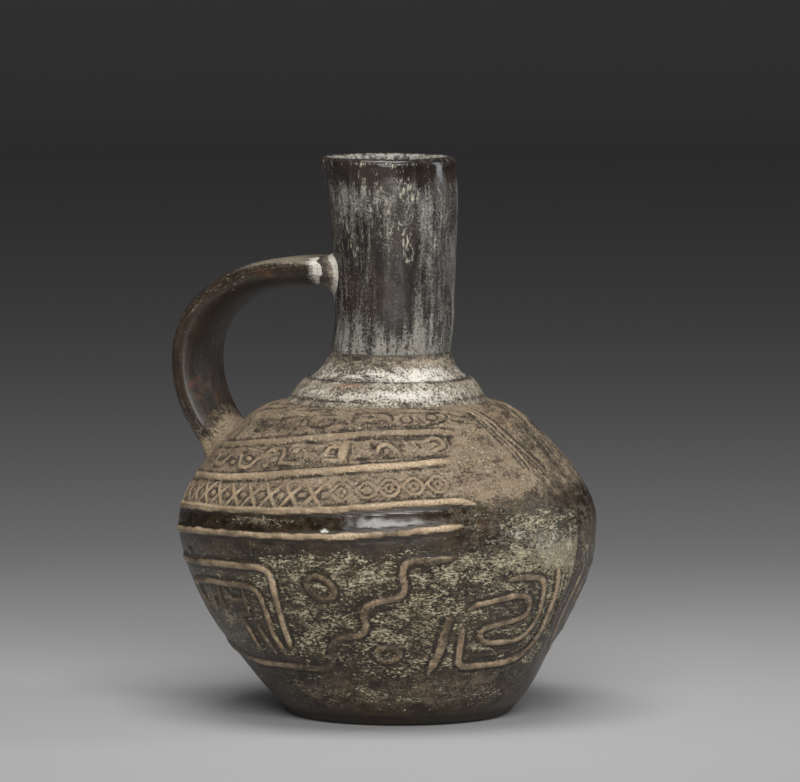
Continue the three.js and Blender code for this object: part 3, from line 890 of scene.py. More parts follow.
PATTERN = (
    # Two ridges with the burnished band between them, and two above them
    Band(2.5, 1.0, 0.95, (
        ((-66, 66.6), (-55, 67.6), (-42, 68.6), (-30, 69.4), (-15, 70), (0, 70.4), (12, 70.7), (22, 71.5),
         (32, 72.6), (42, 73.7), (47, 74.2)),
    )),
    Band(2.8, 1.0, 0.9, (
        ((-66, 75), (-55, 76), (-42, 76.8), (-30, 77.3), (-15, 78.1), (0, 78.8), (10, 79.4), (20, 80.6),
         (30, 81.6), (40, 82.1), (48, 82), (52, 81.2)),
    )),
    Band(2.9, 0.75, 0.75, (
        ((-66, 85.4), (-52, 86.6), (-40, 87.2), (-30, 88), (-20, 89.2), (-10, 90.3), (0, 91.6), (10, 92.5),
         (20, 93.6), (30, 94.1), (40, 94.8), (48, 95.5)),
    )),
    Band(2.6, 0.5, 0.45, (
        ((-60, 96.8), (-45, 98), (-38, 99), (-30, 99.8), (-20, 100.6), (-10, 101.8), (0, 102.7), (10, 103.4),
         (18, 104.2), (30, 104.4), (45, 104.5), (56, 103.8)),
    )),
    # The lattice
    Band(1.7, 0.7, 0.72, crosses()),
    Band(2.4, 0.5, 0.5, cross_dots()),
    Band(1.4, 0.46, 0.45, lozenges(3.6, 3.5), 1),
    Band(1.2, 0.4, 0.35, lozenges(1.5, 1.4), 1),
    # The running fret, with an upright bar in its middle
    Band(1.8, 0.62, 0.55, (
        ((-19.8, 95.6), (-18.8, 98.2), (-12, 98.9), (-11.2, 96), (-11.6, 93.6), (-3.2, 94.2)),
        ((-36.5, 95.2), (-31.4, 95.6), (-30, 93.6), (-28.6, 91.6), (-23.4, 91.6), (-22.4, 94.8), (-19.8, 95.6)),
        ((-52, 93.6), (-47, 94.6), (-45.6, 91.2), (-40.4, 91), (-38.6, 94.4), (-36.5, 95.2)),
        ((4.6, 96.6), (5.2, 100), (10.4, 100)),
        ((5, 95.6), (11, 95.7)),
        ((39.6, 101.2), (43.6, 102.7), (47.2, 102.2), (48.4, 100.2), (45.4, 99.4), (42, 98.4)),
        ((23.2, 98), (23.8, 100.6), (27, 101.2), (29.4, 99.2), (31.5, 97.8)),
    )),
    Band(2.1, 0.55, 0.5, (
        ((-15, 95.2), (-14, 95.2)), ((-17.2, 92.9), (-16.4, 92.9)), ((-7.8, 98), (-6.6, 98.3)),
        ((-34.2, 92.6), (-33.2, 92.6)), ((-26.8, 94.6), (-25.6, 94.4)),
    )),
    Band(1.4, 0.34, 0.2, (
        ((-4.6, 98.6), (-2.4, 98), (-2.2, 95.6)), ((16.4, 96.6), (17.4, 99.6), (20.6, 98.8), (20.8, 97)),
        ((26, 97.4), (26.8, 99.4)), ((33, 102), (35.4, 100.2), (37.6, 98)),
    )),
    Band(3.6, 0.75, 0.6, (((11.2, 95), (10.8, 101.4)),), 0),
    Band(1.1, -0.45, 0.0, (
        ((13.6, 94.9), (12.8, 102.8)), ((6.2, 97.9), (8.6, 97.9)), ((50.8, 103), (51, 100.6)),
        ((-22, 96.9), (-20.6, 98.4)), ((-9.4, 96), (-9, 98.4)), ((-44, 92.8), (-41.6, 92.9)),
        ((14, 96.2), (22, 96.4), (35, 97.1), (47, 97)), ((20.6, 101.6), (22, 99.8)), ((37.6, 101.6), (39, 100)),
        ((-5, 100.7), (0, 101), (6, 101.2)), ((12, 102.4), (25, 102.7), (31, 102.3), (37, 102.6), (45, 103.1)),
    )),
    # The loops on the shoulder, drawn by grooves
    Band(1.2, -0.5, 0.0, (
        ((-8.6, 109), (-9.8, 107.4), (-7.6, 105.7), (-3, 105.3), (0.8, 105.6), (4, 107.1), (2.4, 108.1),
         (-3.4, 107.9)),
        ((-8, 109.1), (0, 109.5), (6.6, 109.7)),
        ((-27, 106.9), (-20, 108.2), (-14, 108.4)),
        ((-12.6, 107.4), (-12, 105.2), (-15, 103.2)),
        ((-20.8, 106), (-15.8, 105.8)),
        ((-24.4, 106.4), (-25.8, 104.6), (-21, 103.7)),
        ((-28.5, 107.2), (-34, 106.4), (-38.8, 105.4), (-38.4, 103.2), (-33, 103), (-29.4, 103.5)),
        ((-46, 101), (-43.4, 103.8), (-41, 106.4)),
        ((-52, 100.2), (-49.4, 102.8), (-47.4, 105.2)),
        ((14, 110.3), (20, 110.7), (27, 110.4), (29.4, 109), (28.6, 107.2)),
        ((19, 109.2), (23.6, 109.1)),
        ((14, 107.4), (21.6, 107.2)),
        ((15, 106), (24, 105.9), (32, 106.4)),
        ((32, 110.6), (38, 110.5), (48, 110.4), (54.4, 110.2), (54.8, 108.4), (50, 106.9), (40, 105.9), (32, 106.2)),
        ((56.5, 109.8), (61, 108.6), (66, 108.4)),
        ((16.5, 112.4), (19, 113.3), (27, 113.7), (36, 112.7), (44, 112.4), (57, 111.6)),
    )),
    Band(1.0, -0.4, 0.0, (
        ((-56, 98.8), (-45, 99.6), (-38, 100.4), (-30, 101.2), (-20, 102.4), (-12, 103.2), (0, 103.9), (7, 104.7),
         (12, 105.2)),
        ring(35.4, 108.5, 2.8, 1.2), ring(47.4, 108.9, 2.7, 1.1),
        ((40.4, 109.6), (42.2, 107.6)), ((56, 107.6), (62, 106.8)), ((3, 113.5), (12, 113.6)),
        ((-30, 111.6), (-18, 112.4), (-4, 112.5)), ((-60, 107.2), (-50, 109.2), (-40, 110.4), (-31, 110.9)),
        ((-60, 110.2), (-50, 111.4), (-38, 112.5)),
    )),
    Band(2.6, -0.5, 0.0, (((12.6, 110), (12.2, 107.8)),)),
    Band(1.6, -0.5, 0.0, dashes()),
    # The lower band: a fret box on each side of a stepped line with two rings
    Band(2.9, 0.9, 0.85, (
        ((-64, 56.2), (-54, 57.2), (-42, 57.6), (-30, 58.1), (-20, 58.4), (-12.6, 58.9), (-8.4, 56.6), (-8.3, 48.9),
         (-8.3, 39.9), (-8.2, 33.1), (-9.2, 28.6)),
        ((50.4, 38.3), (50.1, 30.9), (50.1, 24.3), (51.9, 22.3), (61.4, 22.5), (71.6, 23.3), (78.2, 25.2),
         (82.1, 28.5), (84.4, 33.7), (84.6, 39.8), (83.6, 48.8), (81.2, 57.4)),
    )),
    Band(2.8, 0.85, 0.68, (
        ((-56, 27.2), (-46, 24.6), (-38, 22.8), (-31.7, 21.9), (-21, 22.1), (-8.4, 21.8), (3.4, 21.8),
         (5.3, 25.7), (7.5, 31), (10.2, 34), (13.9, 34.7), (18, 35.5), (19.7, 38.5), (18.9, 42.9), (20.1, 46.7),
         (25, 48.1), (30, 49.3), (31.2, 53), (30, 57.6), (30.6, 61.8), (34, 62.9), (39, 62.5), (45, 63.8)),
        ring(6.8, 52.3, 3.9, 4.2, -1.2), ring(25.4, 28, 3.9, 2.7, 0.4),
    )),
    Band(4.6, 0.4, 0.2, (((18.9, 39.9), (18.8, 43.9), (20.9, 46.5), (25, 47.7), (30, 49.1)),)),
    Band(3.4, 0.75, 0.65, (
        ((45.9, 43.1), (45, 39.5), (43.9, 35.9), (43.7, 30.9), (42.3, 26.9), (40.6, 23.6), (39, 20.6)),
    )),
    Band(2.6, 0.85, 0.8, (
        ((-54, 48.4), (-41, 50.6), (-33, 51.3), (-25, 51.2), (-16.4, 51.2), (-14, 48.5), (-13.6, 42.9), (-13.7, 35),
         (-13.2, 29.8), (-12.2, 25.4)),
        ((50.2, 43.5), (53.4, 45.9), (60.5, 47.1), (66.6, 48.6), (71.1, 47.5), (73.2, 44.1), (72.8, 40.2), (67, 38.5),
         (58, 37), (56, 34.4), (58.8, 31.2), (67.6, 30.8), (75.8, 32.1), (78.8, 36.8), (78.6, 43.8), (77, 51),
         (74.6, 54.2), (68, 54.8), (61.6, 54.2)),
    )),
    Band(2.4, 0.75, 0.66, (
        ((-31.9, 39.9), (-33.5, 45.8), (-32.2, 49.6)), ((-29.5, 49.6), (-28, 46.2), (-24.7, 45.2), (-21.4, 46.1)),
        ((-20.4, 50.6), (-21, 46), (-21.2, 41.4)), ((-25.5, 40.1), (-20.8, 40.8)),
        ((-27.5, 40.6), (-24.6, 38.6), (-24.2, 32), (-24, 26.5)), ((-19.4, 37.4), (-18, 31), (-17, 26)),
        ((-37.5, 49.4), (-38.4, 43.8), (-37.6, 39.9)), ((-47.3, 49.2), (-47.4, 43.7), (-44.3, 39)),
    )),
    Band(1.8, 0.5, 0.4, (
        ((54.5, 26.5), (61.6, 26.5), (71.7, 28)), ((47.2, 57.4), (46.6, 53.4), (48.6, 50.6)),
        ((47.2, 57.4), (52, 58.2)),
        ((86.2, 57), (87.8, 50), (89.5, 41.7), (89.3, 34.6)), ((-48, 60), (-42.8, 60.6), (-47, 62)),
    )),
    # The lines beside the far seam, where the joint was scraped down
    Band(1.5, 0.5, 0.4, (
        ((68, 111.4), (73, 105.6), (76, 101.6), (78, 97), (78.8, 91), (77.6, 88)),
        ((70, 112), (77, 105), (81.4, 97.6), (84, 91.6), (84.6, 86)),
    )),
    Band(1.2, -0.4, 0.0, (
        ((71.5, 109), (76.6, 102.2), (80.4, 95), (81.6, 89.4)), ((66, 110.6), (71.4, 104), (74.6, 98), (75.6, 91)),
        ((73.5, 112), (80.5, 104), (85, 96), (87, 88)),
    )),
)


@dataclass
class Relief:
    """The raised pattern of one mould, laid on the plain wall."""

    form: PotForm
    strokes: list[Stroke]
    taper: float = 4.0
    end_width: float = 0.62
    end_rise: float = 0.4
    raised_dirt_and_shade: float = 0.78
    groove_dirt_and_shade: float = 0.66
    sink_where_darkened: float = 0.12
    smallest_radius: float = 34.0

    @staticmethod
    def nearest(points: np.ndarray, route: np.ndarray) -> tuple[np.ndarray, np.ndarray, float]:
        """Where each point lies beside a line of points.

        Args:
            points: the points, one a row.
            route: the line's points, one a row.

        Returns:
            Each point's distance to the line, how far along the line that is, and the line's length.
        """
        gap = np.full(len(points), np.inf)
        along = np.zeros(len(points))
        run = 0.0
        for start, end in zip(route[:-1], route[1:]):
            step = end - start
            length = math.sqrt(float(step @ step)) or 1e-6
            share = np.clip((points - start) @ step / length**2, 0.0, 1.0)
            away = points - start - share[:, None] * step
            squared = np.einsum("ij,ij->i", away, away)
            closer = squared < gap
            gap[closer] = squared[closer]
            along[closer] = run + share[closer] * length
            run += length
        return np.sqrt(gap), along, run

    def beside(self, stroke: Stroke, azimuth: np.ndarray, height: np.ndarray) -> np.ndarray:
        """Which points lie near enough to a stroke to be touched by it.

        Args:
            stroke: the stroke.
            azimuth: the points' azimuths.
            height: their heights.

        Returns:
            The points' numbers.
        """
        corners = np.array(stroke.corners, dtype=float)
        reach = stroke.width * 1.3 + 1.0
        turn = math.degrees(reach / self.smallest_radius)
        return np.flatnonzero(
            (azimuth > corners[:, 0].min() - turn)
            & (azimuth < corners[:, 0].max() + turn)
            & (height > corners[:, 1].min() - reach)
            & (height < corners[:, 1].max() + reach)
        )

    def laid(self, azimuth: np.ndarray, height: np.ndarray, wobble: np.ndarray) -> dict[str, np.ndarray]:
        """Lays the pattern on a grid of the wall.

        Args:
            azimuth: the grid's azimuths.
            height: its heights.
            wobble: small shifts of each point in millimetres, x, y and z, for an unsteady hand.

        Returns:
            rise in millimetres, and crest and the darkening beside and in the strokes, painted dirt and painted
            shade, from 0 to 1.
        """
        places = (self.form.turned(azimuth, self.form.wall_radius(height), height) + wobble).reshape(-1, 3)
        raised, sunken, crest, hollow = (np.zeros(len(places)) for _ in range(4))
        for stroke in self.strokes:
            near = self.beside(stroke, azimuth.ravel(), height.ravel())
            gap, along, length = self.nearest(places[near], stroke.route(self.form))
            full = np.ones(len(near))
            if length > 2.0 * self.taper and stroke.corners[0] != stroke.corners[-1]:
                full = smooth_step(np.minimum(along, length - along), -0.5, self.taper)
            gap = gap / (stroke.width * (self.end_width + (1.0 - self.end_width) * full))
            swell = (1.0 - smooth_step(gap, 0.16, 0.66)) * (self.end_rise + (1.0 - self.end_rise) * full)
            rim = smooth_step(gap, 0.44, 0.6) * (1.0 - smooth_step(gap, 0.66, 1.05)) * full
            # Beside a raised stroke and along a groove the clay is darkened: painted dirt and painted shade.
            if stroke.rise > 0:
                raised[near] = np.maximum(raised[near], stroke.rise * swell)
                crest[near] = np.maximum(crest[near], stroke.pale * smooth_step(swell, 0.08, 0.6))
                hollow[near] = np.maximum(hollow[near], rim * min(1.0, stroke.rise / 0.5) * self.raised_dirt_and_shade)
            else:
                sunken[near] = np.maximum(sunken[near], -stroke.rise * swell)
                hollow[near] = np.maximum(hollow[near], self.groove_dirt_and_shade * smooth_step(swell, 0.05, 0.6))
        hollow = hollow * (1.0 - smooth_step(raised, 0.12, 0.35))
        rise = raised - sunken * (1.0 - smooth_step(raised, 0.1, 0.4)) - hollow * self.sink_where_darkened
        laid = {"rise": rise, "crest": crest, "hollow": hollow}
        return {label: values.reshape(azimuth.shape) for label, values in laid.items()}


# Meshes


PAINTED = ("crest", "hollow", "dust", "speck", "cream", "rust", "polish")


@dataclass
class Skin:
    """A grid of points that becomes one closed mesh, with what is painted on it."""

    places: np.ndarray
    painted: dict[str, np.ndarray] = field(default_factory=dict)
    run: np.ndarray | None = None
    closes_around: bool = True

    @staticmethod
    def quads(*corners: np.ndarray) -> list[tuple[int, ...]]:
        """A face at each place of four equal grids of point numbers."""
        return [tuple(quad) for quad in np.stack(corners, axis=-1).reshape(-1, 4).tolist()]

    def numbers(self) -> np.ndarray:
        """The grid's points by their number in the mesh."""
        rows, columns = self.places.shape[:2]
        return np.arange(rows * columns).reshape(rows, columns)

    def faces(self) -> list[tuple[int, ...]]:
        """The grid's faces. Its rows always close, and its columns close or end in flat caps.

        Returns:
            The corners of each face.
        """
        number = self.numbers()
        above = np.roll(number, -1, axis=0)
        if self.closes_around:
            return self.quads(number, np.roll(number, -1, axis=1), np.roll(above, -1, axis=1), above)
        sides = self.quads(number[:, :-1], number[:, 1:], above[:, 1:], above[:, :-1])
        return [*sides, tuple(number[:, 0].tolist()), tuple(number[::-1, -1].tolist())]

    def made(self, name: str) -> bpy.types.Object:
        """Makes the mesh and its object.

        Args:
            name: the object's name.

        Returns:
            The new object, linked to the scene.
        """
        mesh = bpy.data.meshes.new(name)
        points = self.places.reshape(-1, 3)
        mesh.from_pydata((points * METRES).tolist(), [], self.faces())
        for label in PAINTED:
            layer = mesh.attributes.new(label, "FLOAT", "POINT")
            spread = self.painted.get(label, 0.0) * np.ones(self.places.shape[:2])
            layer.data.foreach_set("value", spread.ravel().astype(np.float32))
        run = points if self.run is None else self.run.reshape(-1, 3)
        layer = mesh.attributes.new("run", "FLOAT_VECTOR", "POINT")
        layer.data.foreach_set("vector", run.ravel().astype(np.float32))
        mesh.validate()
        mesh.update()
        smooth = np.ones(len(mesh.polygons), dtype=bool)
        if not self.closes_around:
            smooth[-2:] = False
        mesh.polygons.foreach_set("use_smooth", smooth)
        piece = bpy.data.objects.new(name, mesh)
        bpy.context.scene.collection.objects.link(piece)
        return piece


@dataclass
class Tube(Skin):
    """A grid whose columns close and whose first and last rows end in flat caps."""

    def faces(self) -> list[tuple[int, ...]]:
        """The grid's faces with a cap at each end.

        Returns:
            The corners of each face.
        """
        number = self.numbers()
        beside = np.roll(number, -1, axis=1)
        sides = self.quads(number[:-1], beside[:-1], beside[1:], number[1:])
        return [*sides, tuple(number[0, ::-1].tolist()), tuple(number[-1].tolist())]


def placed(piece: bpy.types.Object, node: str, finish: Finish) -> None:
    """Puts a piece on the frame in place of its plain solid, and dresses it.

    Args:
        piece: the new object.
        node: the solid that it stands for.
        finish: its finish.
    """
    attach(piece, BODY)
    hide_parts(node)
    finish.dress(piece)
    log.info("%s: %d faces, for %s", piece.name, len(piece.data.polygons), node)


# The body


BELLY = Belt(22.0, 34.0, 50.0, 72.0)
SHOULDER = Belt(64.0, 90.0, 103.0, 111.0)
SHOULDER_TOP = Belt(101.0, 107.5, 109.5, 112.8)
LOWER_PATTERN = Belt(15.0, 24.0, 62.0, 70.0)
MOULDED_WALL = Belt(3.0, 9.0, 110.0, 112.8)


class Side(Enum):
    """The two mould halves."""

    FRONT = "front"
    BACK = "back"


@dataclass
class BodyHalf:
    """One mould half of the round body, with its raised pattern, dust and wear."""

    form: PotForm
    side: Side
    columns: int = 380
    wall_rows: int = 214
    foot_rows: int = 5
    inner_rows: int = 22
    bottom_rows: int = 2
    disc_radius: float = 27.0
    level_radius: float = 32.0
    seam_azimuth: float = 112.0
    seam_spread: float = 34.0
    lumps: Grain = field(default_factory=lambda: Grain(11))

    def profile(self) -> np.ndarray:
        """The closed section of the wall, from the foot's hole up the outside and back.

        Returns:
            Rows of radius and height.
        """
        form = self.form
        hole = self.disc_radius + form.joint_gap
        foot = bezier(
            [
                (form.foot_radius - 3.0, 0.0),
                (form.foot_edge_radius - 0.7, 0.15),
                (form.foot_edge_radius, form.foot_edge_height),
            ],
            self.foot_rows + 1,
        )
        outer = even_points(form.wall(), self.wall_rows)
        bore = form.neck_radius - form.neck_wall
        wall = even_points(form.wall(), self.inner_rows + 1)
        slope = unit(np.gradient(wall, axis=0))
        inner = wall + form.body_wall * np.stack([-slope[:, 1], slope[:, 0]], axis=1)
        inner = inner[(inner[:, 1] > form.floor_thickness + 1.0) & (inner[:, 0] > bore + 2.0)][::-1]
        seat = [
            (self.level_radius, form.seat_height - 2.0),
            (form.seat_radius, form.seat_height),
            (bore, form.seat_height),
            (bore, form.seat_height - form.body_wall),
        ]
        floor = [(inner[-1, 0] - 1.5, form.floor_thickness), (hole, form.floor_thickness)]
        return np.vstack([[(hole, 0.0), (self.level_radius, 0.0)], foot[:-1], outer, seat, inner, floor])

    def swelling(self, azimuth: np.ndarray, height: np.ndarray) -> np.ndarray:
        """How far the pot stands out from a true round, below and above its waist.

        Args:
            azimuth: the azimuths round the pot.
            height: the heights.

        Returns:
            Millimetres along the wall's normal.
        """
        seam = bell(azimuth, self.seam_azimuth, self.seam_spread)
        low, high, top = BELLY.on(height), SHOULDER.on(height), SHOULDER_TOP.on(height)
        return 1.7 * seam * low + (0.3 + 1.2 * seam) * high + 1.3 * top

    def weathering(self, azimuth: np.ndarray, height: np.ndarray) -> dict[str, np.ndarray]:
        """Where dust, specks, crust, stains and polish lie on this half.

        Args:
            azimuth: the azimuths in this half's own layout.
            height: the heights.

        Returns:
            The painted numbers.
        """
        upper = 79.0 + 0.055 * azimuth
        middle = 70.6 + 0.05 * azimuth
        far = smooth_step(azimuth, 46.0, 62.0)
        shoulder = (1.0 - far) * smooth_step(height - upper, -0.8, 1.2) + far * smooth_step(height - upper, -7.0, 5.0)
        polished = smooth_step(height - middle, 0.5, 2.0) * (1.0 - smooth_step(height - upper, -2.5, -1.0))
        dust = 0.16 + 0.74 * shoulder - 0.1 * polished * (1.0 - far)
        dust = dust - 0.1 * (1.0 - smooth_step(height, 12.0, 24.0))
        # Less dust on the shoulder towards the pot's right edge as the camera sees it: partly darker clay and partly
        # painted shade on that side.
        limb_less_dust_and_shade = (72.0, 86.0) if self.side is Side.FRONT else (40.0, 62.0)
        dust = dust - 0.24 * smooth_step(azimuth, *limb_less_dust_and_shade) * smooth_step(height, 74.0, 86.0)
        crusted = 0.4 * LOWER_PATTERN.on(height)
        if self.side is Side.FRONT:
            crusted = crusted * 1.4 * (0.3 + 0.7 * smooth_step(azimuth, -24.0, 2.0))
        marks = {label: patched(patches, azimuth, height) for label, patches in MARKS[self.side].items()}
        marks["dust"] = np.clip(marks["dust"] + dust, 0.0, 1.2)
        marks["speck"] = marks["speck"] + crusted
        marks["polish"] = np.clip(polished * (1.0 - far) + 0.3 * (1.0 - shoulder), 0.0, 1.0)
        return marks

    def skin(self) -> Skin:
        """The half's grid with its relief and weathering.

        Returns:
            The grid, with the open edges of its wall on the seam's plane.
        """
        form = self.form
        profile = self.profile()
        own = np.linspace(-90.0, 90.0, self.columns)
        azimuth = own if self.side is Side.FRONT else 180.0 - own[::-1]
        layout = own if self.side is Side.FRONT else own[::-1]
        across, up = np.meshgrid(azimuth, profile[:, 1])
        own_across = np.broadcast_to(layout, across.shape)
        radius = np.broadcast_to(profile[:, :1], across.shape)
        first = self.bottom_rows + self.foot_rows
        last = first + self.wall_rows
        wall = slice(first, last)

        places = form.turned(across, radius, up)
        outward = outward_of(unit(np.gradient(profile[wall], axis=0)), azimuth)

        plain = places[wall]
        wobble = np.stack([self.lumps.at(plain + shift, 5.0) for shift in (0.0, 40.0, 80.0)], axis=-1) * 0.28
        strokes = [stroke for band in PATTERN for stroke in band.strokes()]
        laid = Relief(form, strokes).laid(own_across[wall], up[wall], wobble)
        wear = 0.86 + 0.14 * self.lumps.at(plain, 9.0)
        wear = wear * (0.25 + 0.75 * smooth_step(own_across[wall], -66.0, -54.0))
        if self.side is Side.BACK:
            wear = wear * (1.0 - 0.75 * smooth_step(own_across[wall], 44.0, 56.0) * (up[wall] < 62.0))
        lumps = sum(share * self.lumps.at(plain, size) for share, size in ((0.38, 26.0), (0.17, 8.0), (0.07, 2.6)))
        rise = laid["rise"] * wear + lumps * MOULDED_WALL.on(up[wall]) + self.swelling(across[wall], up[wall])
        places[wall] = plain + outward * rise[..., None]

        painted = {label: np.zeros(across.shape) for label in PAINTED}
        painted["crest"][wall] = laid["crest"] * np.clip(0.85 + 0.4 * self.lumps.at(plain, 14.0), 0.4, 1.15)
        # The recess patches darken the ground between the raised lines but not their crests: painted dirt and painted
        # shade.
        dirt_and_shade = patched(RECESS_DIRT_AND_SHADE, own_across[wall], up[wall]) * (0.75 + 0.5 * self.lumps.at(plain, 4.0))
        painted["hollow"][wall] = np.maximum(laid["hollow"], dirt_and_shade * (1.0 - smooth_step(laid["crest"], 0.05, 0.3)))
        for label, spread in self.weathering(own_across[wall], up[wall]).items():
            painted[label][wall] = spread
        painted["dust"][last:] = 0.4
        painted["dust"][:first] = 0.1
        # The underside and the foot's lowest few millimetres are darkened to the full: painted shade where the pot
        # meets the floor.
        painted["hollow"][:first] = 1.0
        painted["hollow"][wall] = np.maximum(painted["hollow"][wall], 1.0 - smooth_step(up[wall], 2.6, 6.0))
        run = np.stack([radius * np.radians(across), up * 1.15, radius * 0.0], axis=-1)
        return Skin(places, painted, run, closes_around=False)

    def build(self) -> None:
        """Builds the half and puts it on the frame."""
        name = f"{self.side.value}_half_with_relief"
        placed(self.skin().made(name), f"body_{self.side.value}_half", Finish.RELIEF)


# Darker patches on the ground between the raised lines: painted dirt and painted shade in the recesses.
RECESS_DIRT_AND_SHADE = (
    Patch(-8, 82.6, 15, 3.6, 0.85), Patch(-40, 82, 14, 3.2, 0.4), Patch(-34, 93.5, 24, 2.6, 0.5),
    Patch(-4, 96, 16, 3.0, 0.6), Patch(28, 98.5, 16, 3.0, 0.4), Patch(-26, 105.4, 22, 2.2, 0.5),
    Patch(10, 107.5, 30, 2.0, 0.4), Patch(36, 113, 20, 1.2, 0.4), Patch(-20, 111.4, 30, 1.6, 0.5),
    Patch(66, 104, 5, 6, 0.35), Patch(54, 90, 10, 2, 0.35), Patch(-46, 39, 12, 8, 0.45),
    Patch(-24, 41, 8, 8, 0.4), Patch(66, 42, 14, 6, 0.3), Patch(35, 34, 5, 8, 0.35),
)
MARKS = {
    Side.FRONT: {
        "dust": (
            Patch(88, 60, 9, 20, 0.26), Patch(62, 92, 18, 12, -0.12), Patch(58, 86, 16, 3, 0.16),
            Patch(64, 98, 12, 2.4, 0.16), Patch(64, 73, 18, 8, 0.24), Patch(47, 78, 6, 4, 0.3),
            Patch(20, 12, 70, 6, 0.42), Patch(60, 17, 30, 4, 0.2), Patch(-10, 75.5, 13, 2.8, 0.4),
            Patch(-34, 44, 26, 18, 0.2), Patch(20, 44, 50, 14, 0.06),
        ),
        "speck": (
            Patch(34, 40, 14, 13, 0.12), Patch(52, 60, 18, 8, 0.08), Patch(68, 73, 20, 8, 0.62),
            Patch(78, 62, 14, 10, 0.36), Patch(89, 60, 7, 18, 0.34), Patch(14, 59, 14, 5, 0.12),
            Patch(-12, 53, 6, 6, 0.15), Patch(30, 88, 14, 4, 0.35), Patch(60, 96, 16, 9, 0.34),
            Patch(0, 23, 30, 3, -0.12), Patch(20, 12, 70, 6, 0.5), Patch(-10, 75.8, 13, 2.4, 0.6),
            Patch(-36, 42, 22, 20, 0.52),
        ),
        "cream": (
            Patch(30, 113.5, 50, 1.2, 0.3), Patch(9, 72.6, 1.6, 1.0, 0.9), Patch(32, 87, 3, 2.5, 0.3),
            Patch(62, 97.5, 2.5, 1.2, 0.5), Patch(62, 71, 9, 5, 0.4), Patch(74, 66, 9, 8, 0.5),
            Patch(84, 60, 5, 12, 0.3),
        ),
        "rust": (
            Patch(11, 106, 4, 3, 0.6), Patch(12, 101, 4, 2, 0.4), Patch(52, 87, 8, 4, 0.35),
            Patch(50, 72, 6, 6, 0.4), Patch(82, 106, 8, 4, 0.5), Patch(90, 92, 8, 8, 0.4),
        ),
    },
    Side.BACK: {
        "dust": (
            Patch(-30, 62, 26, 14, 0.25), Patch(40, 66, 24, 10, 0.35), Patch(84, 66, 14, 12, 0.35),
            Patch(10, 16, 40, 5, 0.25),
        ),
        "speck": (
            Patch(-20, 48, 24, 14, 0.1), Patch(24, 40, 22, 14, 0.14), Patch(60, 62, 20, 12, 0.25),
        ),
        "cream": (Patch(-20, 113.5, 60, 1.2, 0.3), Patch(40, 84, 6, 3, 0.3)),
        "rust": (
            Patch(-24, 96, 10, 6, 0.35), Patch(30, 60, 12, 6, 0.3), Patch(90, 106, 10, 5, 0.3),
        ),
    },
}


# Turned pieces: the ring, the clay round the neck's foot, the neck and the base


@dataclass
class Turned:
    """A round piece, given by the closed section that is swept round the pot's middle line."""

    form: PotForm
    name: str
    node: str
    slot: str
    finish: Finish
    profile: np.ndarray
    columns: int = 256
    coarse_lumps: float = 0.15
    fine_lumps: float = 0.06
    weathering: Mapping[str, tuple[float, tuple[Patch, ...]]] = field(default_factory=dict)
    inside_dust: float = 0.0
    seed: int = 5

    def build(self) -> None:
        """Builds the piece and puts it on the frame."""
        azimuth = np.linspace(0.0, 360.0, self.columns, endpoint=False)
        across, up = np.meshgrid(azimuth, self.profile[:, 1])
        radius = np.broadcast_to(self.profile[:, :1], across.shape)
        places = self.form.turned(across, radius, up)
        ahead = unit(np.roll(self.profile, -1, axis=0) - np.roll(self.profile, 1, axis=0))
        noise = Grain(self.seed)
        rise = self.coarse_lumps * noise.at(places, 16.0) + self.fine_lumps * noise.at(places, 3.5)
        places = places + outward_of(ahead, azimuth) * rise[..., None]
        painted = {
            label: even + patched(patches, across, up) for label, (even, patches) in self.weathering.items()
        }
        inside = smooth_step(-ahead[:, 1:], 0.1, 0.8)
        painted["dust"] = painted["dust"] + self.inside_dust * inside
        painted["rust"] = painted["rust"] + 0.3 * self.inside_dust * inside
        skin = Skin(places, painted, places)
        placed(skin.made(self.name), self.node, self.finish)


def shoulder_ring(form: PotForm) -> Turned:
    """The raised ring on the shoulder.

    Args:
        form: the pot's form.

    Returns:
        The piece, not built yet.
    """
    toe = (form.shoulder_radius + 0.9, form.shoulder_height - 0.45)
    top = (28.4, form.seat_height + form.joint_gap + 3.8)
    back = bezier([toe, (toe[0] - 2.6, toe[1] + 2.6), (top[0] + 2.6, top[1] + 0.2), top], 30)
    under = [(28.4, 117.3), (28.3, 117.3), (32.0, 114.2), (toe[0] - 1.0, toe[1] - 0.5)]
    return Turned(
        form,
        "shoulder_ring_of_clay",
        "shoulder_ring",
        "relief_blackware",
        Finish.COLLAR,
        profile=np.vstack([back, under]),
        columns=320,
        coarse_lumps=0.16,
        fine_lumps=0.1,
        weathering={
            "dust": (0.85, (Patch(0, 113, 400, 1.4, -0.15),)),
            "cream": (
                0.4,
                (Patch(44, 117, 30, 3.0, 0.3), Patch(0, 116.5, 40, 1.6, 0.2), Patch(200, 117, 40, 2.0, 0.2)),
            ),
            "rust": (0.0, (Patch(0, 119.6, 14, 1.4, 0.85), Patch(-24, 117, 10, 2, 0.4), Patch(150, 118, 16, 2, 0.5))),
            # Dark lines along the ring's top and lower joints: painted dirt and painted shade in the creases.
            "hollow": (
                0.0,
                (Patch(0, 121.1, 400, 0.5, 0.95), Patch(12, 118.9, 26, 0.35, 0.7), Patch(0, 114.4, 400, 0.5, 0.5)),
            ),
        },
        seed=21,
    )


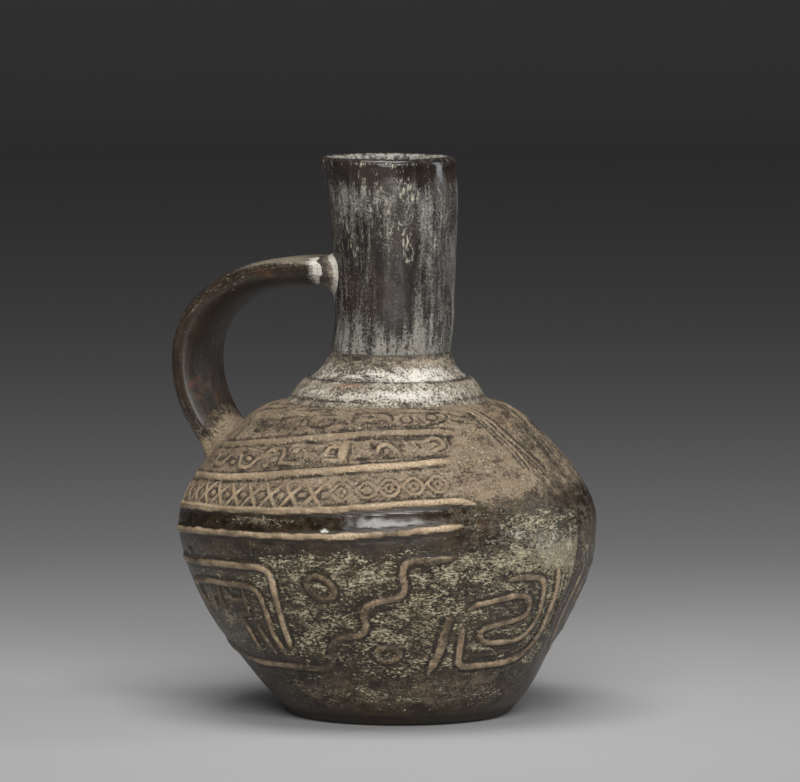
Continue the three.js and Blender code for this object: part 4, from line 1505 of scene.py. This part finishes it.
def neck_foot(form: PotForm) -> Turned:
    """The pale clay worked into the corner between the neck and the shoulder.

    Args:
        form: the pot's form.

    Returns:
        The piece, not built yet.
    """
    inner = form.neck_radius + form.joint_gap
    foot = form.seat_height + form.joint_gap
    outer = 28.1
    under = [(inner - 0.6, foot), (outer, foot), (outer, foot + 2.0)]
    cove = bezier([(outer, foot + 3.8), (inner + 1.6, foot + 6.2), (inner - 0.1, foot + 13.0)], 24)
    return Turned(
        form,
        "clay_round_neck_foot",
        "neck_foot_fillet",
        "luting_clay",
        Finish.COLLAR,
        profile=np.vstack([under, cove, [(inner - 0.9, foot + 12.0)]]),
        columns=320,
        coarse_lumps=0.1,
        fine_lumps=0.09,
        weathering={
            "dust": (0.72, (Patch(0, 130.5, 400, 3.0, -0.45), Patch(60, 126, 30, 4, 0.3))),
            "cream": (
                0.5,
                (Patch(50, 123, 30, 3.2, 0.34), Patch(8, 124, 14, 3, 0.12), Patch(0, 130, 400, 3.4, -0.5)),
            ),
            "rust": (0.0, (Patch(6, 124, 14, 2.4, 0.5), Patch(190, 124, 20, 2.0, 0.4))),
            # A dark line where the clay meets the ring: painted dirt and painted shade in the crease.
            "hollow": (0.0, (Patch(0, 120.9, 400, 0.5, 0.95),)),
        },
        seed=31,
    )


def neck(form: PotForm) -> Turned:
    """The tall neck with its rounded lip.

    Args:
        form: the pot's form.

    Returns:
        The piece, not built yet.
    """
    foot = form.seat_height + form.joint_gap
    lip = form.total_height - form.lip_rounding
    heights = np.linspace(foot, lip, 146)
    outside = np.stack([form.neck_outer(heights), heights], axis=1)
    middle = float(form.neck_outer(np.array(lip))) - form.neck_wall / 2.0
    turns = np.linspace(0.0, math.pi, 13)[1:-1]
    rim = np.stack(
        [middle + form.neck_wall / 2.0 * np.cos(turns), lip + form.lip_rounding * np.sin(turns)], axis=1
    )
    inside = outside[::-4] - np.array([form.neck_wall, 0.0])
    return Turned(
        form,
        "neck_with_lip",
        "neck_tube",
        "burnished_blackware",
        Finish.NECK,
        profile=np.vstack([outside, rim, inside]),
        columns=250,
        coarse_lumps=0.22,
        fine_lumps=0.05,
        weathering={
            "dust": (
                0.26,
                (
                    Patch(20, 178, 3.5, 10, 0.6), Patch(68, 170, 16, 18, 0.36), Patch(40, 182, 16, 8, 0.22),
                    Patch(14, 187, 60, 5, 0.2), Patch(-20, 184, 34, 8, 0.3), Patch(60, 134, 16, 14, 0.35),
                    # The patch at azimuth 104 lays pale dust up the neck's right edge as the camera sees it: partly
                    # dust and partly a painted highlight of the light from the right and behind.
                    Patch(-30, 136, 34, 12, 0.2), Patch(24, 131, 60, 8, 0.56), Patch(104, 156, 14, 44, 0.4),
                    Patch(30, 155, 16, 10, -0.3), Patch(0, 196, 400, 3.5, -0.6), Patch(150, 170, 20, 20, 0.35),
                    Patch(200, 150, 14, 24, 0.4), Patch(250, 175, 20, 14, 0.3), Patch(180, 128, 60, 5, 0.4),
                ),
            ),
            "speck": (
                0.1,
                (
                    Patch(30, 198.2, 64, 0.9, 0.36), Patch(38, 188, 14, 4, 0.45), Patch(30, 176, 24, 14, 0.3),
                    Patch(-20, 178, 26, 12, 0.3),
                ),
            ),
            "cream": (
                0.0,
                (Patch(-82, 158, 12, 10, 0.7), Patch(40, 127, 60, 3.0, 0.3), Patch(200, 127, 60, 3.0, 0.3)),
            ),
            "rust": (0.0, (Patch(30, 152, 20, 12, 0.28), Patch(-28, 130, 12, 8, 0.3), Patch(220, 170, 20, 10, 0.3))),
            "polish": (0.2, (Patch(0, 196, 400, 4.0, 0.9),)),
        },
        inside_dust=0.85,
        seed=41,
    )


def base_disc(form: PotForm) -> Turned:
    """The clay disc that closes the underside.

    Args:
        form: the pot's form.

    Returns:
        The piece, not built yet.
    """
    middle, radius, thickness = 0.05, 27.0, form.floor_thickness
    flat = np.stack([np.linspace(middle, radius - 1.0, 40), np.zeros(40)], axis=1)
    edge = bezier([(radius - 1.0, 0.0), (radius - 0.1, 0.1), (radius, 1.0)], 5)[1:]
    top = [(radius, thickness), (14.0, thickness), (middle, thickness)]
    return Turned(
        form,
        "base_disc_of_clay",
        "base_disc",
        "raw_clay",
        Finish.INSIDE,
        profile=np.vstack([flat, edge, top]),
        columns=160,
        coarse_lumps=0.0,
        fine_lumps=0.0,
        weathering={"dust": (0.35, ()), "cream": (0.05, ()), "rust": (0.1, ())},
        seed=51,
    )


# The handle


@dataclass
class Handle:
    """The wide strap handle, swept along its route from the neck to the shoulder."""

    form: PotForm
    route: tuple[tuple[float, float], ...] = (
        (-16, 158), (-30, 158), (-43, 157.4), (-56, 154.6), (-67, 149), (-74.8, 142),
        (-79.2, 133.5), (-80.4, 124), (-78.9, 114), (-74.9, 105), (-69, 97.6), (-60, 86),
    )
    width: float = 30.0
    thickness: float = 10.8
    outer_squareness: float = 5.0
    loop_squareness: float = 2.0
    steps: int = 230
    section_points: int = 130
    starts_from_middle: float = 19.5
    seed: int = 61

    def line(self, count: int) -> np.ndarray:
        """Even points on the strap's middle line.

        Args:
            count: how many points to give.

        Returns:
            Rows of x and z.
        """
        knots = np.array(self.route, dtype=float)
        knots = np.vstack([2 * knots[0] - knots[1], knots, 2 * knots[-1] - knots[-2]])
        pieces = []
        for a, b, c, d in zip(knots[:-3], knots[1:-2], knots[2:-1], knots[3:]):
            spans = ((a, b), (b, c), (c, d))
            times = np.cumsum([0.0] + [math.sqrt(float(np.linalg.norm(q - p))) for p, q in spans])
            at = np.linspace(times[1], times[2], 24, endpoint=False)[:, None]

            def between(first: Any, second: Any, low: float, high: float) -> Any:
                """The point between two others at each time."""
                return first + (second - first) * (at - low) / (high - low)

            ab, bc, cd = (between(p, q, times[i], times[i + 1]) for i, (p, q) in enumerate(spans))
            abc, bcd = between(ab, bc, times[0], times[2]), between(bc, cd, times[1], times[3])
            pieces.append(between(abc, bcd, times[1], times[2]))
        return even_points(np.vstack([*pieces, knots[-2:-1]]), count)

    @staticmethod
    def spatial(line: np.ndarray) -> np.ndarray:
        """Rows of x and z as points in space on the handle's plane."""
        return np.stack([line[:, 0], np.zeros(len(line)), line[:, 1]], axis=-1)

    def section(self, turn: np.ndarray) -> tuple[np.ndarray, np.ndarray]:
        """The strap's section: flat and square outside, round towards the finger loop.

        Args:
            turn: angles round the section, where a quarter turn is its outer side.

        Returns:
            How far each point lies across the strap, and through it towards the outside.
        """
        squareness = np.where(np.sin(turn) > 0, self.outer_squareness, self.loop_squareness)
        across = np.sign(np.cos(turn)) * np.abs(np.cos(turn)) ** (2.0 / squareness)
        through = np.sign(np.sin(turn)) * np.abs(np.sin(turn)) ** (2.0 / squareness)
        return across * self.width / 2.0, through * self.thickness / 2.0

    def at(self, point: np.ndarray, ahead: np.ndarray, across: np.ndarray, through: np.ndarray) -> np.ndarray:
        """Points in space from places in the strap's section.

        Args:
            point: x and z of the middle line.
            ahead: the line's direction there, as x and z.
            across: how far the points lie across the strap.
            through: how far they lie towards the strap's outside.

        Returns:
            The points, whose last axis is x, y and z.
        """
        outside = np.stack([ahead[..., 1], -ahead[..., 0]], axis=-1)
        x = point[..., 0] + through * outside[..., 0]
        z = point[..., 1] + through * outside[..., 1]
        return np.stack([x, across * np.ones(x.shape), z], axis=-1)

    def build(self) -> None:
        """Builds the strap and puts it on the frame."""
        line = self.line(self.steps)
        line = line[np.abs(line[:, 0] - self.form.lean(line[:, 1])) > self.starts_from_middle]
        ahead = unit(np.gradient(line, axis=0))
        turn = np.linspace(0.0, 2.0 * math.pi, self.section_points, endpoint=False)
        across, through = self.section(turn)
        places = self.at(line[:, None, :], ahead[:, None, :], across[None, :], through[None, :])
        run_length = np.concatenate([[0.0], np.cumsum(np.linalg.norm(np.diff(line, axis=0), axis=1))])
        around = np.cumsum(np.hypot(np.gradient(across), np.gradient(through)))
        run = np.stack(np.broadcast_arrays(run_length[:, None], around[None, :], np.zeros((1, 1))), axis=-1)
        noise = Grain(self.seed)
        away = unit(places - self.spatial(line)[:, None, :])
        flutes = noise.at(run * np.array([0.03, 1.0, 1.0]), 2.6)
        inside = smooth_step(-through, -1.0, 3.0)[None, :]
        rise = 0.3 * noise.at(places, 17.0) + 0.12 * flutes * (0.35 + inside) + 0.05 * noise.at(places, 3.0)
        places = places + away * rise[..., None]

        along = run_length[:, None]
        height = np.broadcast_to(line[:, 1][:, None], places.shape[:2])
        top = smooth_step(through, 2.0, 5.0)[None, :]
        centred = (turn + math.pi) % (2.0 * math.pi) - math.pi
        edge = (bell(turn, math.pi, 0.5) + bell(centred, 0.0, 0.5))[None, :]
        # On the inner face of the loop the dust is thinned and the clay darkened, most just under the strap's arch:
        # painted shade where less light falls.
        painted = {
            "dust": 0.2
            + 0.75 * top * (1.0 - smooth_step(along, 20.0, 46.0))
            + 0.3 * smooth_step(along, 88.0, 112.0)
            - 0.26 * inside,
            "cream": 0.85 * (1.0 - smooth_step(along, 4.0, 11.0))
            + 0.25 * top * (1.0 - smooth_step(along, 14.0, 40.0)),
            "rust": 0.45 * inside * bell(along, 86.0, 14.0)
            + 0.38 * edge * bell(along, 56.0, 10.0)
            + 0.4 * edge * bell(along, 24.0, 9.0),
            "polish": (0.75 * edge + 0.2) * (1.0 - inside),
            "speck": 0.1 + 0.3 * edge * bell(along, 40.0, 16.0),
            "crest": 0.3 * edge * bell(along, 56.0, 12.0),
            "hollow": 0.55 * inside * (0.5 + 0.5 * bell(height, 150.0, 12.0)),
        }
        skin = Tube(places, painted, run)
        placed(skin.made("strap_handle"), "handle_strap", Finish.HANDLE)


class Seat(Enum):
    """What an end of the strap is luted to."""

    NECK = "neck"
    SHOULDER = "shoulder"


@dataclass
class Luting:
    """The clay worked round one end of the strap, thin where it runs out on both surfaces."""

    handle: Handle
    seat: Seat
    name: str
    node: str
    slot: str
    reach: float
    spread_outside: float
    spread_inside: float
    spread_sideways: float
    columns: int = 150
    rows: int = 26
    buried_depth: float = 1.2
    seed: int = 71

    def seat_radius(self, height: np.ndarray) -> np.ndarray:
        """The radius of what the strap is luted to."""
        form = self.handle.form
        return form.neck_outer(height) if self.seat is Seat.NECK else form.wall_radius(height)

    def inside_seat(self, place: np.ndarray) -> np.ndarray:
        """How deep each point lies inside the seat's surface.

        Args:
            place: the points.

        Returns:
            Millimetres, below 0 for a point outside it.
        """
        form = self.handle.form
        x = place[..., 0] - form.lean(place[..., 2])
        return self.seat_radius(place[..., 2]) - np.hypot(x, place[..., 1])

    def on_seat(self, place: np.ndarray, sunk: float) -> np.ndarray:
        """The points moved straight out from the middle line to lie on the seat.

        Args:
            place: the points.
            sunk: how far under the seat's surface they come to lie.

        Returns:
            The moved points.
        """
        form = self.handle.form
        lean = form.lean(place[..., 2])
        x, y = place[..., 0] - lean, place[..., 1]
        radius = np.hypot(x, y)
        wanted = self.seat_radius(place[..., 2]) - sunk
        return np.stack([x / radius * wanted + lean, y / radius * wanted, place[..., 2]], axis=-1)

    def build(self) -> None:
        """Builds the cove of clay and puts it on the frame."""
        handle = self.handle
        line = handle.line(900)
        if self.seat is Seat.SHOULDER:
            line = line[::-1]
        ahead = unit(np.gradient(line, axis=0))
        facing = 1.0 if self.seat is Seat.NECK else -1.0
        step = float(np.linalg.norm(line[1] - line[0]))
        turn = np.linspace(0.0, 2.0 * math.pi, self.columns, endpoint=False)
        across, through = handle.section(turn)
        grid = handle.at(line[:, None, :], facing * ahead[:, None, :], across[None, :], through[None, :])
        start = np.argmax(self.inside_seat(grid) < 0.0, axis=0)
        corner = grid[start, np.arange(self.columns)]

        outwards = np.clip(through / (handle.thickness / 2.0), -1.0, 1.0)
        spread = np.where(outwards > 0, self.spread_outside, self.spread_inside) * np.abs(outwards)
        sideways = np.abs(across) / (handle.width / 2.0)
        spread = spread * (1.0 - 0.25 * sideways) + self.spread_sideways * (1.0 - np.abs(outwards))
        reach_steps = np.clip((self.reach * (0.65 + 0.35 * np.abs(outwards))) / step, 3, None).astype(int)
        far = grid[start + reach_steps, np.arange(self.columns)]
        axis = handle.spatial(line[start])
        away = unit(corner - axis)
        foot = self.on_seat(corner + away * spread[:, None], -0.05)

        share = np.linspace(0.0, 1.0, self.rows)[:, None, None]
        cove = (1 - share) ** 2 * foot + 2 * share * (1 - share) * corner + share**2 * far
        noise = Grain(self.seed)
        body = np.sin(np.pi * share[..., 0]) ** 0.8
        rise = 0.25 * noise.at(cove, 9.0) + 0.12 * noise.at(cove, 2.8) + 0.12
        cove = cove + away[None] * (rise * body)[..., None]
        sunk_far = far - away * self.buried_depth
        sunk_foot = self.on_seat(foot, self.buried_depth)
        buried = axis + (corner - axis) * 0.82
        places = np.concatenate([cove, sunk_far[None], buried[None], sunk_foot[None]])
        painted = self.weathering(share[..., 0], np.broadcast_to(outwards, (self.rows, self.columns)))
        full = {label: np.vstack([seen, np.zeros((3, self.columns))]) for label, seen in painted.items()}
        finish = Finish.COLLAR if self.seat is Seat.NECK else Finish.RELIEF
        placed(Skin(places, full, places).made(self.name), self.node, finish)

    def weathering(self, share: np.ndarray, outwards: np.ndarray) -> dict[str, np.ndarray]:
        """Where dust and crust lie on the clay.

        Args:
            share: 0 at the seat to 1 at the strap.
            outwards: -1 on the loop's side to 1 outside.

        Returns:
            The painted numbers.
        """
        flat = np.ones(outwards.shape)
        if self.seat is Seat.NECK:
            cream = 0.86 - 0.9 * smooth_step(share, 0.3, 0.72) + 0.1 * outwards
            return {"dust": 0.7 - 0.45 * smooth_step(share, 0.4, 0.9) * flat, "cream": cream, "rust": 0.2 * flat}
        return {
            "dust": 1.0 - 0.6 * smooth_step(share, 0.5, 1.0) * flat,
            "cream": 0.14 * flat,
            "rust": 0.12 * flat,
            "speck": 0.3 * (1.0 - share) * flat,
        }


# The studio


@dataclass(frozen=True)
class Lamp:
    """One soft rectangular lamp, in metres."""

    name: str
    place: tuple[float, float, float]
    aim: tuple[float, float, float]
    width: float
    height: float
    watts: float
    colour: tuple[float, float, float] = (1.0, 1.0, 1.0)

    def build(self) -> None:
        """Hangs the lamp and turns it to its aim."""
        data = bpy.data.lights.new(self.name, "AREA")
        data.shape = "RECTANGLE"
        data.size, data.size_y = self.width, self.height
        data.energy = self.watts
        data.color = self.colour
        lamp = bpy.data.objects.new(self.name, data)
        lamp.location = self.place
        lamp.rotation_euler = (Vector(self.aim) - Vector(self.place)).to_track_quat("-Z", "Y").to_euler()
        bpy.context.scene.collection.objects.link(lamp)


@dataclass
class Studio:
    """The pale floor and backdrop, the lamps and the camera."""

    floor_colour: Paint = Paint(176, 176, 176)
    painted_falloff_colour: Paint = Paint(139, 137, 138)
    painted_far_falloff_colour: Paint = Paint(138, 135, 137)
    camera_place: tuple[float, float, float] = (1.0521, -2.1571, 0.322)
    camera_aim: tuple[float, float, float] = (0.0002, 0.0001, 0.1158)
    lens: float = 302.4
    sensor_width: float = 36.0
    sky_colour: tuple[float, float, float, float] = (0.80, 0.80, 0.82, 1.0)
    sky_strength: float = 0.17
    lamps: tuple[Lamp, ...] = (
        Lamp("overhead", (0.06, -0.2, 0.95), (0.0, 0.0, 0.08), 0.6, 0.45, 5.4),
        Lamp("front_high", (0.72, -1.25, 0.98), (0.0, 0.0, 0.1), 1.2, 0.42, 18.0),
        Lamp("behind_camera", (1.2, -2.5, 0.5), (0.0, 0.0, 0.1), 1.2, 0.5, 19.0),
        Lamp("right_back", (0.95, 0.55, 0.45), (0.0, 0.0, 0.12), 0.3, 0.8, 3.4, (0.9, 0.95, 1.0)),
    )

    def sweep(self) -> bpy.types.Object:
        """The floor that turns up into a backdrop all round, behind a wide curve.

        Returns:
            The floor.
        """
        flat, bend, count = 4.0, 1.5, 96
        rings = [(0.02, 0.0), (0.5, 0.0), (2.0, 0.0), (flat, 0.0)]
        rings += [
            (flat + bend * math.sin(turn), bend - bend * math.cos(turn)) for turn in np.linspace(0.1, math.pi / 2, 12)
        ]
        rings += [(flat + bend, 3.5), (flat + bend, 6.0)]
        turns = np.linspace(0.0, 2.0 * math.pi, count, endpoint=False)
        points = [(r * math.cos(t), r * math.sin(t), z) for r, z in rings for t in turns]
        faces = [
            (i * count + j, i * count + (j + 1) % count, (i + 1) * count + (j + 1) % count, (i + 1) * count + j)
            for i in range(len(rings) - 1)
            for j in range(count)
        ]
        faces.append(tuple(range(count)))
        mesh = bpy.data.meshes.new("floor")
        mesh.from_pydata(points, [], faces)
        mesh.update()
        mesh.polygons.foreach_set("use_smooth", [True] * len(mesh.polygons))
        floor = bpy.data.objects.new("floor", mesh)
        bpy.context.scene.collection.objects.link(floor)
        mesh.materials.append(self.paper())
        return floor

    def paper(self) -> bpy.types.Material:
        """The floor's pale paper, painted darker away from the pot as a painted falloff of the light.

        Returns:
            The material.
        """
        bench = Bench("floor_paper")
        point = bench.node("ShaderNodeTexCoord", {}, {}).outputs["Object"]
        reach = Value(bench, bench.node("ShaderNodeVectorMath", {"operation": "LENGTH"}, {0: point}).outputs["Value"])
        paper = bench.mixed(self.floor_colour, self.painted_falloff_colour, reach.smooth(0.02, 0.62))
        paper = paper.toward(self.painted_far_falloff_colour, reach.smooth(1.0, 4.5))
        surface = bench.node("ShaderNodeBsdfPrincipled", {}, {"Base Color": paper, "Roughness": 0.85})
        bench.node("ShaderNodeOutputMaterial", {}, {"Surface": surface.outputs["BSDF"]})
        return bench.material

    def light_sky(self) -> None:
        """Gives the world its even light."""
        world = bpy.data.worlds.new("studio")
        world.use_nodes = True
        sky = world.node_tree.nodes["Background"]
        sky.inputs["Color"].default_value = self.sky_colour
        sky.inputs["Strength"].default_value = self.sky_strength
        bpy.context.scene.world = world

    def aim_camera(self) -> None:
        """Sets up the camera at the photograph's viewing angle."""
        data = bpy.data.cameras.new("camera")
        data.lens = self.lens
        data.sensor_width = self.sensor_width
        data.sensor_fit = "HORIZONTAL"
        data.clip_end = 50.0
        camera = bpy.data.objects.new("camera", data)
        camera.location = self.camera_place
        aim = Vector(self.camera_aim) - Vector(self.camera_place)
        camera.rotation_euler = aim.to_track_quat("-Z", "Y").to_euler()
        bpy.context.scene.collection.objects.link(camera)
        bpy.context.scene.camera = camera

    def build(self) -> None:
        """Sets up the floor, the lamps, the sky and the camera."""
        self.sweep()
        for lamp in self.lamps:
            lamp.build()
        self.light_sky()
        self.aim_camera()
        bpy.context.scene.view_settings.view_transform = "Standard"


def dress_inner_strips() -> None:
    """Gives the strips of clay inside the seams their finish."""
    for node in ("inner_seam_strip_handle_side", "inner_seam_strip_far_side"):
        Finish.INSIDE.dress(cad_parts[node])
        log.info("%s keeps its solid", node)


def main() -> None:
    """Builds the bottle and its studio."""
    logging.basicConfig(level=logging.INFO, format="%(name)s: %(message)s")
    form = PotForm()
    Studio().build()
    BodyHalf(form, Side.FRONT).build()
    BodyHalf(form, Side.BACK).build()
    for make in (shoulder_ring, neck_foot, neck, base_disc):
        make(form).build()
    handle = Handle(form)
    handle.build()
    Luting(
        handle, Seat.NECK, "clay_round_strap_top", "handle_upper_luting", "luting_clay",
        reach=9.0, spread_outside=4.0, spread_inside=8.0, spread_sideways=3.5,
    ).build()
    Luting(
        handle, Seat.SHOULDER, "clay_round_strap_foot", "handle_lower_luting", "relief_blackware",
        reach=14.0, spread_outside=13.0, spread_inside=13.0, spread_sideways=4.5,
    ).build()
    dress_inner_strips()


if __name__ == "__main__":
    main()
